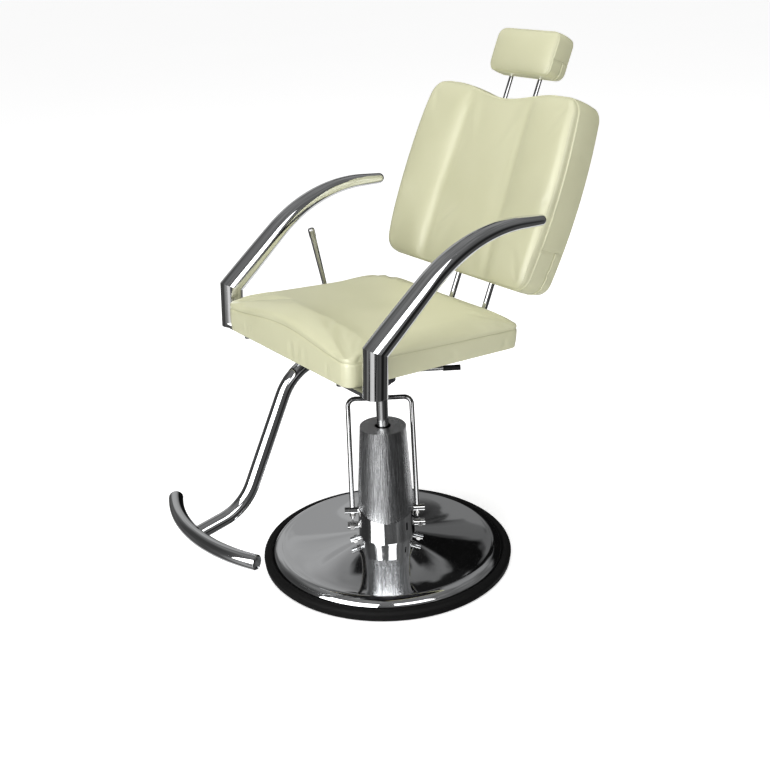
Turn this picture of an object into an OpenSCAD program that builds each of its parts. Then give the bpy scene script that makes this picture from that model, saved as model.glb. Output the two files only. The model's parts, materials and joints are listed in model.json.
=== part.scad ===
// Threading chair: a hydraulic salon chair on a round base, with bent tube arms, a bent tube
// footrest, a seat, a reclining back and a sliding headrest. The chair faces -Y, +Z is up, and
// the origin is on the floor in the middle of the lift column.

/* [Base] */
// Outer radius of the rubber ring on the floor
ring_r = 300; // [270:1:330]
// Height of the rubber ring
ring_h = 26; // [22:1:30]
// Width of the rubber ring
ring_w = 21.7; // [18:0.1:26]
// Height where the domed plate comes out of the ring
edge_z = 19.2; // [14:0.1:21]
// Width of the plate's rounded shoulder
shoulder_w = 28; // [20:1:40]
// Height of the crease above the shoulder
shoulder_z = 40; // [34:1:50]
// Height of the plate at the foot of the collar
dome_z = 63; // [52:1:76]
// Thickness of the domed plate
dome_t = 4; // [2:0.5:6]
// Thickness of the closing plate under the base
floor_t = 4; // [3:0.5:6]
// Turn of the base under the chair, in degrees
base_turn = 56.2; // [0:0.1:90]

/* [Pump] */
// Outer radius of the collar
collar_r = 68.5; // [66:0.5:75]
// Wall of the collar
collar_t = 3; // [2:0.5:4]
// Wall of the tapered cover
cover_t = 2; // [1.5:0.5:3]
// Outer radius of the cover at its top
cover_top_r = 54.5; // [52:0.5:62]
// Height of the cover's top
cover_z = 342.6; // [341:0.1:360]
// Radius of the curved seam between collar and cover
saddle_r = 131; // [115:1:160]
// Height of the middle of that curve
saddle_z = 5; // [0:1:12]
// Radius of the pump block
block_r = 55; // [50:1:58]
// Outer radius of the cylinder tube
tube_r = 44; // [40:1:47]
// Radius of the cylinder's bore
bore_r = 32; // [28:1:36]
// Height of the bottom of the bore
bore_z = 145; // [143:1:147]
// Height of the top of the cylinder tube
tube_z = 318; // [316:1:322]

/* [Pump pedal] */
// Height of the pedal shaft
shaft_z = 122; // [120:0.5:123]
// Radius of the pedal shaft
shaft_r = 8.5; // [7:0.5:9]
// Reach of the shaft's long end from the column's axis
shaft_long = 99; // [95:1:110]
// Reach of the shaft's short end and of both ends of the bar below
shaft_short = 93.5; // [90:0.5:105]
// Radius of the pedal's wire
bail_r = 6; // [5:0.5:7]
// Half of the distance between the pedal's legs
bail_half = 78; // [76:1:80]
// Length of the pedal from the shaft to its top bar
bail_len = 270; // [240:1:280]
// Sideways place of the pedal on its shaft
bail_shift = -2.5; // [-3:0.5:0]
// Radius of the pedal's two bends
bail_bend = 18; // [12:1:30]
// Lean of the pedal at rest, in degrees
bail_lean = 30; // [20:1:35]
// Height of the fixed bar below the shaft
stop_z = 82; // [80:1:84]
// Radius of the fixed bar
stop_r = 9; // [7:0.5:9]

/* [Column] */
// Radius of the lifting rod
rod_r = 14; // [12:0.5:16]
// Height of the rod's lower end at rest
rod_low = 248; // [247:1:250]
// Height of the rod's upper end at rest
rod_top = 530; // [515:1:533]
// Height of the piston
piston_h = 18; // [12:1:20]
// Radius of the swivel hub
hub_r = 30; // [25:1:34]
// Height of the hub's lower end
hub_z = 458.3; // [456:0.1:462]

/* [Seat] */
// Height of the seat's underside over the column
seat_z = 568.1; // [560:0.1:590]
// Fall of the seat towards the back, in degrees
seat_tilt = 2.59; // [0:0.01:5]
// Width of the seat cushion
seat_w = 495; // [480:1:500]
// Front edge of the seat cushion
seat_front = 256; // [250:1:262]
// Rear edge of the seat cushion
seat_rear = 204; // [196:1:208]
// Height of the seam at the front corners
seat_seam_front = 60; // [50:1:70]
// Height of the seam at the rear
seat_seam_rear = 49; // [40:1:60]
// Rise of the front seam in the middle
seat_arch = 25; // [0:1:30]
// Crown of the seat over its seam
seat_crown = 20; // [5:1:26]
// Corner radius of the seat
seat_corner = 24; // [16:1:50]
// Thickness of the seat's board
board_t = 12; // [9:1:15]
// Width of the square tubes of the frame
bar_w = 20; // [18:1:25]
// Wall of the square tubes
bar_wall = 2; // [1.5:0.5:3]
// Distance of each side rail's middle from the middle of the chair
rail_x = 110; // [105:1:125]

/* [Arms] */
// Distance of each arm's middle line from the seat's side
arm_gap = 40.7; // [36:0.1:50]
// Radius of the post and of the arm where they meet
arm_r = 26; // [22:0.5:28]
// Radius of the arm at its free end
arm_end_r = 12; // [10:0.5:16]
// Distance of the posts in front of the column
post_y = 218; // [210:1:226]
// Height where post and arm meet, over the seat's underside
mitre_w = 84; // [75:1:95]
// Drop of the post below the seat's underside
post_drop = 7.5; // [5:0.5:20]
// Climb of the arm at its start, in degrees
arm_climb = 42.4; // [35:0.1:48]
// Fall of the arm at its end, in degrees
arm_fall = 1.3; // [0:0.1:6]
// Length of the arm's first straight
arm_straight = 171; // [140:1:190]
// Radius of the arm's bend
arm_bend = 354; // [300:1:400]
// Length of the arm's last straight
arm_tail = 63; // [40:1:80]
// Wall of the arm tubes
arm_wall = 2.5; // [1.5:0.5:4]

/* [Footrest] */
// Radius of the footrest's stem
stem_r = 16; // [12:0.5:16]
// Radius of the foot bar
foot_r = 16.5; // [14:0.5:20]
// Radius of the foot bar's curve
foot_curve = 389; // [340:1:450]
// Half of the foot bar's width
foot_half = 183; // [150:1:210]
// Height of the foot bar
foot_z = 232; // [215:1:250]
// Distance of the foot bar's middle in front of the column
foot_y = 503; // [480:1:520]
// Radius of both bends of the stem
stem_bend = 113; // [100:1:116]
// Wall of the stem and of the foot bar
stem_wall = 2.5; // [1.5:0.5:4]

/* [Back] */
// Lean of the back, in degrees
back_lean = 22.7; // [15:0.1:30]
// Place of the back's lower edge behind the column
back_y = 213; // [205:1:225]
// Height of the back's lower edge
back_z = 683; // [670:1:700]
// Greatest width of the back
back_w = 524; // [500:1:528]
// Height of the back at the middle of its top edge
back_h = 403; // [380:1:420]
// Rise of the top edge from the middle to its corners
back_rise = 22; // [0:1:30]
// Depth of the back's side wall
back_d = 70; // [64:1:72]
// Corner radius of the back
back_corner = 34; // [26:1:60]
// Height of the padded rolls over the side seams
bolster_h = 20; // [8:1:28]
// Height of the middle panel over the seams
panel_h = 9; // [4:1:16]
// Radius of the two posts that carry the back
back_post_r = 7; // [6:0.5:9]
// Half of the distance between the two posts
back_post_x = 60; // [50:1:64]
// Depth of the posts behind the back's front edge
back_post_d = 81; // [81:0.5:86]
// Drop of the back's hinge below the back
hinge_drop = 141.35; // [135:0.05:150]

/* [Headrest] */
// Width of the headrest
head_w = 201; // [180:1:230]
// Gap between the middle of the back's top edge and the headrest
head_gap = 64; // [52:1:77]
// Height of the headrest
head_h = 100; // [85:1:120]
// Depth of the headrest's front edge behind the back's front edge
head_front = 20; // [15:1:24]
// Depth of the headrest's side wall
head_d = 50; // [42:1:55]
// Radius of the headrest's rods
head_rod_r = 5; // [4:0.5:6]
// Half of the distance between the rods
head_rod_x = 48; // [40:1:60]
// Depth of the rods behind the back's front edge
head_rod_d = 50; // [49:0.5:51]

/* [Levers] */
// Distance of the recline lever from the seat's side
lever_gap = 20.5; // [18:0.5:24]
// Length of the recline lever from its shaft
lever_len = 239; // [180:1:250]
// Lean of the recline lever towards the front, in degrees
lever_lean = 14.46; // [8:0.01:20]
// Radius of the lever's tip
lever_tip_r = 8; // [6:0.5:9]
// Radius of the lever's shaft
lever_shaft_r = 6; // [5:0.5:6]
// Reach of the swivel lock lever from the column
lock_len = 184; // [150:1:200]
// Turn of the swivel lock lever from the +X side, in degrees
lock_turn = 58; // [50:1:64]

/* [Hidden] */

// Number of sides of round work, of thin round work and of the bent arms
round_fn = 96;
thin_fn = 48;
arm_fn = 24;
hex_fn = 6;
// Overrun of every cut
over = 1;
// Running clearance of a shaft in its bore, measured on the radius
fit = 0.05;
// Clearance between faces that pass each other
pass = 0.5;
// Clearance between pieces of different groups that stay apart
apart = 0.3;

// Plate and ring
plate_r = ring_r - ring_w;
plate_foot = floor_t / 2;
ring_round = ring_h / 3;
ring_foot_in = 6;
crease_r = plate_r - shoulder_w;
dome_hole_r = block_r + collar_t + dome_t / 2;
dome_steps = 10;
arc_step = 15;
dome_hollow_share = 1.35;

// Base bolts
base_bolt_r = 4;
base_bolt_head_r = 7;
base_bolt_head_h = 3;
base_bolt_len = 30;
base_bolt_circle = 40;
base_bolt_count = 4;
base_bolt_sink = 0.5;

// Collar and cover
collar_slot_w = 5;
collar_slot_low = 89;
collar_slot_high = 109;
collar_slot_turn = -46;
seam_gap = 0.4;
cover_low_z = saddle_z + sqrt(pow(saddle_r, 2) - pow(collar_r, 2));
cover_hole_r = rod_r + 5;

// Pedal crank and plunger
crank_turn = 24;
crank_reach = 24;
crank_lobe_r = 6;
crank_w = 12;
crank_t = 5;
pocket_w = 17;
pocket_low = 98;
pocket_high = 141;
pocket_back = 14;
plunger_r = 7;
plunger_low = 60;
plunger_bore_low = 38;
plunger_top = shaft_z + crank_reach * sin(crank_turn) - crank_lobe_r - apart;
nut_h = 6;
nut_r = 7;
bail_tail_r = 4;
bail_tail = 20;
stop_bolt_x = 82;
stop_bolt_r = 3;
stop_bolt_head_r = 5.5;
stop_bolt_head_h = 4;
stop_bolt_nut_h = 4;

// Column
bush_h = 12;
bush_spigot = 10;
seal_h = 7;
seal_r = 24;
thrust_h = 8;
thrust_r = 24;
hub_flange_h = 11.4;
hub_flange_r = hub_r + 4;

// Seat frame, all heights measured from the seat's underside
plate_t = 6;
plate_w = 2 * rail_x + bar_w;
plate_l = 200;
plate_low = -bar_w - plate_t;
rail_front = 215;
rail_back = 196;
crossbar_mid = 130;
crossbar_rear = 110;
board_inset = 8;
board_corner = seat_corner - board_inset / 2;
frame_bolt_r = 4;
frame_bolt_head_r = 6.5;
frame_bolt_head_h = 5;
plate_bolt_y = 80;
board_bolt_y = 180;

// Arm brackets and caps
arm_x = seat_w / 2 + arm_gap;
bracket_t = 8;
bracket_w = 40;
arm_bolt_in = 59.5;
arm_bolt_x = seat_w / 2 - arm_bolt_in;
arm_bolt_y = 236;
cap_t = 2.5;
mitre_turn = (90 + arm_climb) / 2;
arm_turn = arm_climb + arm_fall;
arm_arc = arm_bend * arm_turn * PI / 180;
arm_length = arm_straight + arm_arc + arm_tail;
arm_taper_share = 1.5;
arm_steps = 30;
arm_bore_steps = 12;
arm_end_steps = 4;
arm_end_turn = 80;

// Footrest, the stem's run in the plane x = 0
stem_gap = 5;
stem_under = stem_r + stem_gap;
stem_fn = 32;
stem_bore_fn = 16;
bend_steps = 9;
stem_rear = 104;
stem_knee_y = 230.5;
stem_ankle_y = 379.6;
stem_ankle_z = 256;
foot_angle = asin(foot_half / foot_curve);
clamp_w = 56;
clamp_l = 42;
clamp_t = 6;
foot_cap_t = 3;
foot_cap_shares = [[1, 0], [0.97, 0.4], [0.8, 0.85], [0.5, 1], [0, 1]];

// Hinge of the back and the gas spring, in the seat's directions
hinge_y = back_y + back_post_d * cos(back_lean) - hinge_drop * sin(back_lean);
hinge_z = back_z - back_post_d * sin(back_lean) - hinge_drop * cos(back_lean);
hinge_seat_y = hinge_y * cos(seat_tilt) - (hinge_z - seat_z) * sin(seat_tilt);
hinge_seat_w = hinge_y * sin(seat_tilt) + (hinge_z - seat_z) * cos(seat_tilt);
hinge_pin_r = 6;
hinge_tube_r = 13;
cheek_t = 6;
cheek_eye_r = 16;
cheek_eye_turns = [40, 250];
cheek_front = 125;
cheek_x = rail_x - bar_w / 2 - cheek_t;
pin_head_r = 9;
pin_head_h = 3;
rocker_arm = 38;
rocker_turn = 16.5;
rocker_gap = 24;
rocker_t = 6;
rocker_w = 24;
rocker_len = 56;
gas_pin_r = 4;
slot_half = gas_pin_r + 1.2;
slot_low = 32;
slot_high = 49.5;
gas_w = hinge_seat_w - rocker_arm;
gas_pin_y = hinge_seat_y + rocker_arm * tan(rocker_turn);
gas_r = 11;
gas_bore_r = 8;
gas_front = 60;
gas_rear = 196;
gas_wall = 8;
gas_rod_r = 4;
gas_piston_y = 125;
gas_piston_t = 8;
gas_eye_r = 8;
gas_eye_w = 20;
gas_pin_len = rocker_gap + 2 * rocker_t + 4;
hanger_front = 88;
hanger_t = 10;
hanger_w = 34;

// Recline lever and the valve that it presses
lever_x = seat_w / 2 + lever_gap;
lever_y = 50.8;
lever_w = -33.8;
lever_root_r = 4.5;
lever_boss_r = 9;
lever_boss_w = 14.4;
finger_boss_r = 7.4;
lever_tip_len = 22;
lever_shank_r = 7.2;
lever_tip_shares = [[1, 0], [1, 0.8], [0.85, 0.95], [0.5, 1]];
bearing_w = 22;
bearing_t = 12;
bearing_outer_x = rail_x + 5;
bearing_inner_x = 30;
bearing_drop = 12;
finger_reach = 19.2;
finger_lobe_r = 4;
finger_t = 4;
finger_x = 8;
valve_r = 4;
valve_block_w = 18;
valve_block_l = 20;
valve_block_top = gas_w + gas_r + 12.6;
valve_top = lever_w - finger_lobe_r - apart;
valve_len = 18;
valve_bore_len = 24;

// Swivel lock
lock_z = 478;
lock_ring_h = 16;
lock_ring_w = 6;
lock_rod_r = 5;
lock_grip_r = 6.5;
lock_grip_len = 40;

// Back, depths measured from the front edge of its side wall
back_low = -4;
back_mid = 190;
back_draw = 22;
back_board_t = 11;
back_board_inset = 10;
back_panel_t = 2;
back_panel_inset = 22;
valley_top = 100;
valley_low = 133;
valley_depth = 3;
strap_t = 2;
strap_h = 40;
strap_half = 88;
strap_low = 60;
strap_drop = 113;
strap_high = back_h - strap_drop;
back_post_short = 58;
back_post_top = back_h - back_post_short;
back_bolt_r = 4;
back_bolt_head_r = 7;
back_bolt_head_h = 4;
back_bolt_x = 78;
sleeve_r = 6;
sleeve_len = 130;
sleeve_drop = 18;
sleeve_low = back_h - sleeve_len - sleeve_drop;
rod_channel_r = 7.5;

// Headrest
head_low = back_h + head_gap;
head_corner = 20;
head_crown = 10;
head_board_inset = 8;
head_rod_drop = 113;
head_rod_low = back_h - head_rod_drop;
head_rod_in = 78;

// Grid of each cushion's face and rings of its side wall
pad_columns = 22;
pad_rows = 18;
pad_head_columns = 14;
pad_head_rows = 10;
pad_side_rings = 3;
pad_pull = 4;
pad_base_inset = 1.5;
// How flat the faces run before they fall to their seams
pad_flat = 6;
pad_head_flat = 4;
bolster_skew = 1.5;
bolster_flat = 0.6;
back_rise_corners = 1.5;

chrome = "silver";
steel = "slategray";
vinyl = "lemonchiffon";
rubber = "dimgray";

module base_space() {
    rotate([0, 0, base_turn]) children();
}

module seat_space() {
    translate([0, 0, seat_z]) rotate([-seat_tilt, 0, 0]) children();
}

// Depth runs rearwards along Y and height along Z from the back's lower front edge
module back_space() {
    translate([0, back_y, back_z]) rotate([-back_lean, 0, 0]) children();
}

module bail_space() {
    base_space() translate([bail_shift, 0, shaft_z]) rotate([-bail_lean, 0, 0]) children();
}

// A round bar along X between two places
module bar_x(x0, x1, r, sides = thin_fn) {
    translate([x0, 0, 0]) rotate([0, 90, 0]) cylinder(h = x1 - x0, r = r, $fn = sides);
}

// A round bar along Y between two places
module bar_y(y0, y1, r, sides = thin_fn) {
    translate([0, y0, 0]) rotate([-90, 0, 0]) cylinder(h = y1 - y0, r = r, $fn = sides);
}

// A flat outline drawn in Y and Z, extruded along X from x0 over the thickness t
module plate_x(x0, t) {
    translate([x0, 0, 0]) rotate([90, 0, 90]) linear_extrude(t) children();
}

module rounded_plate(w, l, t, r) {
    translate([-w / 2 + r, -l / 2, 0]) cube([w - 2 * r, l, t]);
    translate([-w / 2, -l / 2 + r, 0]) cube([w, l - 2 * r, t]);
    for (sx = [-1, 1], sy = [-1, 1])
        translate([sx * (w / 2 - r), sy * (l / 2 - r), 0]) cylinder(h = t, r = r, $fn = thin_fn);
}

module square_tube(l) {
    difference() {
        cube([bar_w, l, bar_w]);
        translate([bar_wall, -over, bar_wall])
            cube([bar_w - 2 * bar_wall, l + 2 * over, bar_w - 2 * bar_wall]);
    }
}

// Direction of the run from point a to point b, in degrees
function run_angle(a, b) = atan2(b[1] - a[1], b[0] - a[0]);
// Turn at an inner corner, which is always less than a right angle
function turn_at(p, i) =
    asin(sin(run_angle(p[i], p[i + 1]) - run_angle(p[i - 1], p[i])));
function bend_reach(p, bends, i) =
    i <= 0 || i >= len(p) - 1 ? 0 : bends[i] * tan(abs(turn_at(p, i)) / 2);
function run_point(a, angle, reach) = [a[0] + reach * cos(angle), a[1] + reach * sin(angle)];

// Stations along a bent tube in the Y Z plane: each has its place and its direction
function bend_stations(p, bends, i) =
    let (angle = run_angle(p[i - 1], p[i]), turn = turn_at(p, i), side = turn > 0 ? 1 : -1,
        start = run_point(p[i], angle, -bend_reach(p, bends, i)),
        middle = run_point(start, angle + 90 * side, bends[i]))
    [for (k = [0 : bend_steps])
        let (a = angle + turn * k / bend_steps) [run_point(middle, a - 90 * side, bends[i]), a]];
function tube_stations(p, bends) =
    let (last = len(p) - 1)
    concat([[p[0], run_angle(p[0], p[1])]],
        [for (i = [1 : last - 1], station = bend_stations(p, bends, i)) station],
        [[p[last], run_angle(p[last - 1], p[last])]]);

// One ring of a tube, leaned out of square by the slope
function tube_ring(p, a, r, sides, slope) =
    [for (i = [0 : sides - 1])
        let (x = r * cos(360 * i / sides), n = r * sin(360 * i / sides), s = -n * slope)
        [x, p[0] - n * sin(a) + s * cos(a), p[1] + n * cos(a) + s * sin(a)]];

module ring_loft(rings) {
    sides = len(rings[0]);
    last = len(rings) - 1;
    polyhedron(points = [for (r = rings, p = r) p], faces = concat(
        [for (i = [1 : sides - 2]) [0, i + 1, i]],
        [for (k = [0 : last - 1], i = [0 : sides - 1], half = [0, 1])
            let (a = k * sides + i, b = k * sides + (i + 1) % sides)
            half == 0 ? [a, b, b + sides] : [a, b + sides, a + sides]],
        [for (i = [1 : sides - 2]) [last * sides, last * sides + i, last * sides + i + 1]]));
}

// A bent tube in the Y Z plane through the corners p, with a bend radius at each inner corner
module bent_bar(p, bends, r, sides) {
    ring_loft([for (station = tube_stations(p, bends)) tube_ring(station[0], station[1], r, sides, 0)]);
}

// Base

function dome_outer(t) = concat(
    [[plate_r - t, plate_foot], [plate_r - t, edge_z]],
    [for (a = [arc_step : arc_step : 90])
        [crease_r + (shoulder_w - t) * cos(a), edge_z + (shoulder_z - t - edge_z) * sin(a)]],
    [for (i = [1 : dome_steps])
        let (s = i / dome_steps)
        [crease_r - s * (crease_r - collar_r),
            shoulder_z - t + pow(s, dome_hollow_share) * (dome_z - shoulder_z)]],
    [[dome_hole_r, dome_z - t]]);

function reversed(list) = [for (i = [len(list) - 1 : -1 : 0]) list[i]];

module base_disc() {
    color(chrome) rotate_extrude($fn = round_fn)
        polygon(concat(dome_outer(0), reversed(dome_outer(dome_t))));
}

module base_rim() {
    color(rubber) rotate_extrude($fn = round_fn)
        polygon(concat(
            [[plate_r, 0], [ring_r - ring_foot_in, 0], [ring_r - ring_foot_in / 3, ring_round / 2]],
            [for (a = [0 : arc_step : 90])
                [ring_r - ring_round + ring_round * cos(a), ring_h - ring_round + ring_round * sin(a)]],
            [[plate_r + ring_round / 2, ring_h], [plate_r, edge_z]]));
}

module base_bolt_places() {
    base_space() for (i = [0 : base_bolt_count - 1])
        rotate([0, 0, (i + 0.5) * 360 / base_bolt_count]) translate([base_bolt_circle, 0, 0]) children();
}

module base_plate() {
    color(steel) difference() {
        cylinder(h = floor_t, r = plate_r - dome_t, $fn = round_fn);
        base_bolt_places() {
            translate([0, 0, -over]) cylinder(h = floor_t + 2 * over, r = base_bolt_r, $fn = thin_fn);
            translate([0, 0, -over])
                cylinder(h = base_bolt_sink + base_bolt_head_h + over, r = base_bolt_head_r, $fn = thin_fn);
        }
    }
}

module base_bolts() {
    color(steel) base_bolt_places() translate([0, 0, base_bolt_sink]) {
        cylinder(h = base_bolt_head_h, r = base_bolt_head_r, $fn = thin_fn);
        cylinder(h = base_bolt_len, r = base_bolt_r, $fn = thin_fn);
    }
}

// Pump

module pump_body() {
    color(steel) base_space() difference() {
        union() {
            translate([0, 0, floor_t]) cylinder(h = bore_z - floor_t, r = block_r, $fn = round_fn);
            translate([0, 0, bore_z]) cylinder(h = tube_z - bore_z, r = tube_r, $fn = round_fn);
        }
        translate([0, 0, bore_z]) cylinder(h = tube_z - bore_z + over, r = bore_r, $fn = round_fn);
        translate([0, 0, shaft_z]) bar_x(-block_r - over, block_r + over, shaft_r + fit);
        translate([0, 0, stop_z]) bar_x(-block_r - over, block_r + over, stop_r);
        translate([-pocket_w / 2, -pocket_back, pocket_low])
            cube([pocket_w, pocket_back + block_r + over, pocket_high - pocket_low]);
        translate([0, crank_reach, plunger_bore_low])
            cylinder(h = pocket_low - plunger_bore_low + over, r = plunger_r + fit, $fn = thin_fn);
        rotate([0, 0, -base_turn]) base_bolt_places()
            cylinder(h = base_bolt_sink + base_bolt_len, r = base_bolt_r, $fn = thin_fn);
    }
}

module saddle(r) {
    translate([0, 0, saddle_z]) bar_x(-collar_r - over, collar_r + over, r, round_fn);
}

module pump_collar() {
    color(chrome) base_space() difference() {
        intersection() {
            translate([0, 0, dome_z]) cylinder(h = saddle_r, r = collar_r, $fn = round_fn);
            saddle(saddle_r);
        }
        translate([0, 0, dome_z - over])
            cylinder(h = saddle_r + 2 * over, r = collar_r - collar_t, $fn = round_fn);
        translate([0, 0, shaft_z]) bar_x(-collar_r - over, collar_r + over, shaft_r + pass);
        translate([0, 0, stop_z]) bar_x(-collar_r - over, collar_r + over, stop_r);
        rotate([0, 0, collar_slot_turn])
            translate([collar_r - 2 * collar_t, -collar_slot_w / 2, collar_slot_low])
                cube([3 * collar_t, collar_slot_w, collar_slot_high - collar_slot_low]);
    }
}

module pump_cover() {
    color(chrome) base_space() difference() {
        translate([0, 0, cover_low_z])
            cylinder(h = cover_z - cover_low_z, r1 = collar_r, r2 = cover_top_r, $fn = round_fn);
        translate([0, 0, cover_low_z - over])
            cylinder(h = cover_z - cover_low_z - cover_t + over,
                r1 = collar_r - cover_t, r2 = cover_top_r - cover_t, $fn = round_fn);
        saddle(saddle_r + seam_gap);
        cylinder(h = cover_z + over, r = cover_hole_r, $fn = thin_fn);
    }
}

module rod_bush() {
    color("goldenrod") difference() {
        union() {
            translate([0, 0, tube_z - bush_spigot])
                cylinder(h = bush_spigot, r = bore_r, $fn = round_fn);
            translate([0, 0, tube_z]) cylinder(h = bush_h, r = tube_r, $fn = round_fn);
        }
        translate([0, 0, tube_z - bush_spigot - over])
            cylinder(h = bush_spigot + bush_h + 2 * over, r = rod_r + fit, $fn = thin_fn);
    }
}

module rod_seal() {
    color(rubber) translate([0, 0, tube_z + bush_h]) difference() {
        cylinder(h = seal_h, r = seal_r, $fn = thin_fn);
        translate([0, 0, -over]) cylinder(h = seal_h + 2 * over, r = rod_r + fit, $fn = thin_fn);
    }
}

module stop_bolt_places() {
    base_space() for (side = [-1, 1]) translate([side * stop_bolt_x, 0, stop_z]) children();
}

module stop_bar() {
    color(chrome) difference() {
        base_space() translate([0, 0, stop_z]) bar_x(-shaft_short, shaft_short, stop_r);
        stop_bolt_places() bar_y(-stop_r - over, stop_r + over, stop_bolt_r);
    }
}

module stop_bar_bolts() {
    color(steel) stop_bolt_places() {
        bar_y(-stop_r, stop_r + stop_bolt_nut_h, stop_bolt_r);
        bar_y(-stop_r - stop_bolt_head_h, -stop_r, stop_bolt_head_r);
        bar_y(stop_r, stop_r + stop_bolt_nut_h, stop_bolt_head_r);
    }
}

module pump_plunger() {
    color(steel) base_space() translate([0, crank_reach, plunger_low])
        cylinder(h = plunger_top - plunger_low, r = plunger_r, $fn = thin_fn);
}

// The two places where a leg of the pedal goes through its shaft
module bail_leg_places() {
    for (side = [-1, 1]) translate([side * bail_half, 0, 0]) children();
}

// Wire of the pedal: two legs with thinner threaded ends, two bends and the top bar
module pump_bail() {
    color(chrome) bail_space() {
        bail_leg_places() {
            translate([0, 0, -shaft_r]) cylinder(h = shaft_r + bail_len - bail_bend, r = bail_r, $fn = thin_fn);
            translate([0, 0, -bail_tail]) cylinder(h = bail_tail - shaft_r, r = bail_tail_r, $fn = thin_fn);
        }
        for (side = [-1, 1])
            translate([side * (bail_half - bail_bend), 0, bail_len - bail_bend])
                rotate([90, 0, 0]) rotate([0, 0, side > 0 ? 0 : 90])
                    rotate_extrude(angle = 90, $fn = round_fn)
                        translate([bail_bend, 0]) circle(r = bail_r, $fn = thin_fn);
        translate([0, 0, bail_len]) bar_x(-bail_half + bail_bend, bail_half - bail_bend, bail_r);
    }
}

module bail_shaft() {
    color(chrome) difference() {
        base_space() translate([0, 0, shaft_z]) {
            bar_x(-shaft_long, shaft_short, shaft_r);
            rotate([crank_turn, 0, 0]) {
                translate([-crank_w / 2, 0, -crank_t / 2]) cube([crank_w, crank_reach, crank_t]);
                translate([0, crank_reach, 0]) bar_x(-crank_w / 2, crank_w / 2, crank_lobe_r);
            }
        }
        bail_space() bail_leg_places() translate([0, 0, -shaft_r])
            cylinder(h = 3 * shaft_r, r = bail_r, $fn = thin_fn);
    }
}

module bail_nuts() {
    color(steel) bail_space() difference() {
        bail_leg_places() translate([0, 0, -shaft_r - nut_h]) cylinder(h = nut_h, r = nut_r, $fn = hex_fn);
        bail_leg_places() translate([0, 0, -bail_tail])
            cylinder(h = bail_tail, r = bail_tail_r, $fn = thin_fn);
    }
}

// Column

module piston_rod() {
    color(chrome) translate([0, 0, rod_low]) cylinder(h = rod_top - rod_low, r = rod_r, $fn = thin_fn);
}

module piston_head() {
    color(steel) translate([0, 0, rod_low]) difference() {
        cylinder(h = piston_h, r = bore_r - fit, $fn = round_fn);
        translate([0, 0, -over]) cylinder(h = piston_h + 2 * over, r = rod_r, $fn = thin_fn);
    }
}

module thrust_ring() {
    color(steel) translate([0, 0, hub_z - apart - thrust_h]) difference() {
        cylinder(h = thrust_h, r = thrust_r, $fn = thin_fn);
        translate([0, 0, -over]) cylinder(h = thrust_h + 2 * over, r = rod_r, $fn = thin_fn);
    }
}

// Everything above the underside of the mounting plate
module above_plate() {
    seat_space() translate([-plate_w, -plate_l, plate_low]) cube([2 * plate_w, 2 * plate_l, plate_w]);
}

module swivel_hub() {
    color(steel) difference() {
        translate([0, 0, hub_z]) {
            cylinder(h = seat_z - hub_z, r = hub_r, $fn = round_fn);
            cylinder(h = hub_flange_h, r = hub_flange_r, $fn = round_fn);
        }
        translate([0, 0, hub_z - over])
            cylinder(h = rod_top + pass - hub_z + over, r = rod_r + fit, $fn = thin_fn);
        above_plate();
    }
}

// Seat frame

module plate_bolt_places() {
    for (sx = [-1, 1], sy = [-1, 1]) translate([sx * rail_x, sy * plate_bolt_y, 0]) children();
}

module board_bolt_places() {
    for (sx = [-1, 1], sy = [-1, 1]) translate([sx * rail_x, sy * board_bolt_y, 0]) children();
}

module arm_bolt_places() {
    for (sx = [-1, 1]) translate([sx * arm_bolt_x, -arm_bolt_y, 0]) children();
}

// Shanks of the bolts under the seat, from their heads up into the board
module frame_bolt_shanks() {
    plate_bolt_places() translate([0, 0, plate_low])
        cylinder(h = -plate_low + board_t / 2, r = frame_bolt_r, $fn = thin_fn);
    board_bolt_places() translate([0, 0, -bar_w])
        cylinder(h = bar_w + board_t / 2, r = frame_bolt_r, $fn = thin_fn);
    arm_bolt_places() translate([0, 0, -bracket_t])
        cylinder(h = bracket_t + board_t / 2, r = frame_bolt_r, $fn = thin_fn);
}

module frame_bolt_head(w) {
    translate([0, 0, w - frame_bolt_head_h])
        cylinder(h = frame_bolt_head_h, r = frame_bolt_head_r, $fn = hex_fn);
}

module frame_bolts() {
    color(steel) seat_space() {
        frame_bolt_shanks();
        plate_bolt_places() frame_bolt_head(plate_low);
        board_bolt_places() frame_bolt_head(-bar_w);
        arm_bolt_places() frame_bolt_head(-bracket_t);
    }
}

module mounting_plate() {
    color(steel) seat_space() difference() {
        translate([-plate_w / 2, -plate_l / 2, plate_low]) cube([plate_w, plate_l, plate_t]);
        frame_bolt_shanks();
    }
}

module frame_rails() {
    color(steel) seat_space() difference() {
        for (side = [-1, 1])
            translate([side * rail_x - bar_w / 2, -rail_front, -bar_w]) square_tube(rail_front + rail_back);
        frame_bolt_shanks();
    }
}

// The front crossbar stops at the block that holds the footrest's stem
module frame_crossbars() {
    inner = rail_x - bar_w / 2;
    color(steel) seat_space() {
        translate([-inner, crossbar_rear + bar_w / 2, -bar_w]) rotate([0, 0, -90]) square_tube(2 * inner);
        for (x = [-inner, clamp_w / 2])
            translate([x, bar_w / 2 - crossbar_mid, -bar_w])
                rotate([0, 0, -90]) square_tube(inner - clamp_w / 2);
    }
}

module seat_board_shape(grow) {
    translate([0, (seat_rear - seat_front) / 2, 0])
        rounded_plate(seat_w - 2 * board_inset + 2 * grow,
            seat_front + seat_rear - 2 * board_inset + 2 * grow, board_t + grow, board_corner);
}

module seat_board() {
    color("burlywood") seat_space() difference() {
        seat_board_shape(0);
        frame_bolt_shanks();
    }
}

// Cushions. Each has a face of columns and rows inside its outline, a side wall that is drawn
// in between its two edges, and a flat underside.

// Shares from 0 to 1 that gather at both ends
function gathered(i, n) = (1 - cos(180 * i / n)) / 2;
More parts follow.
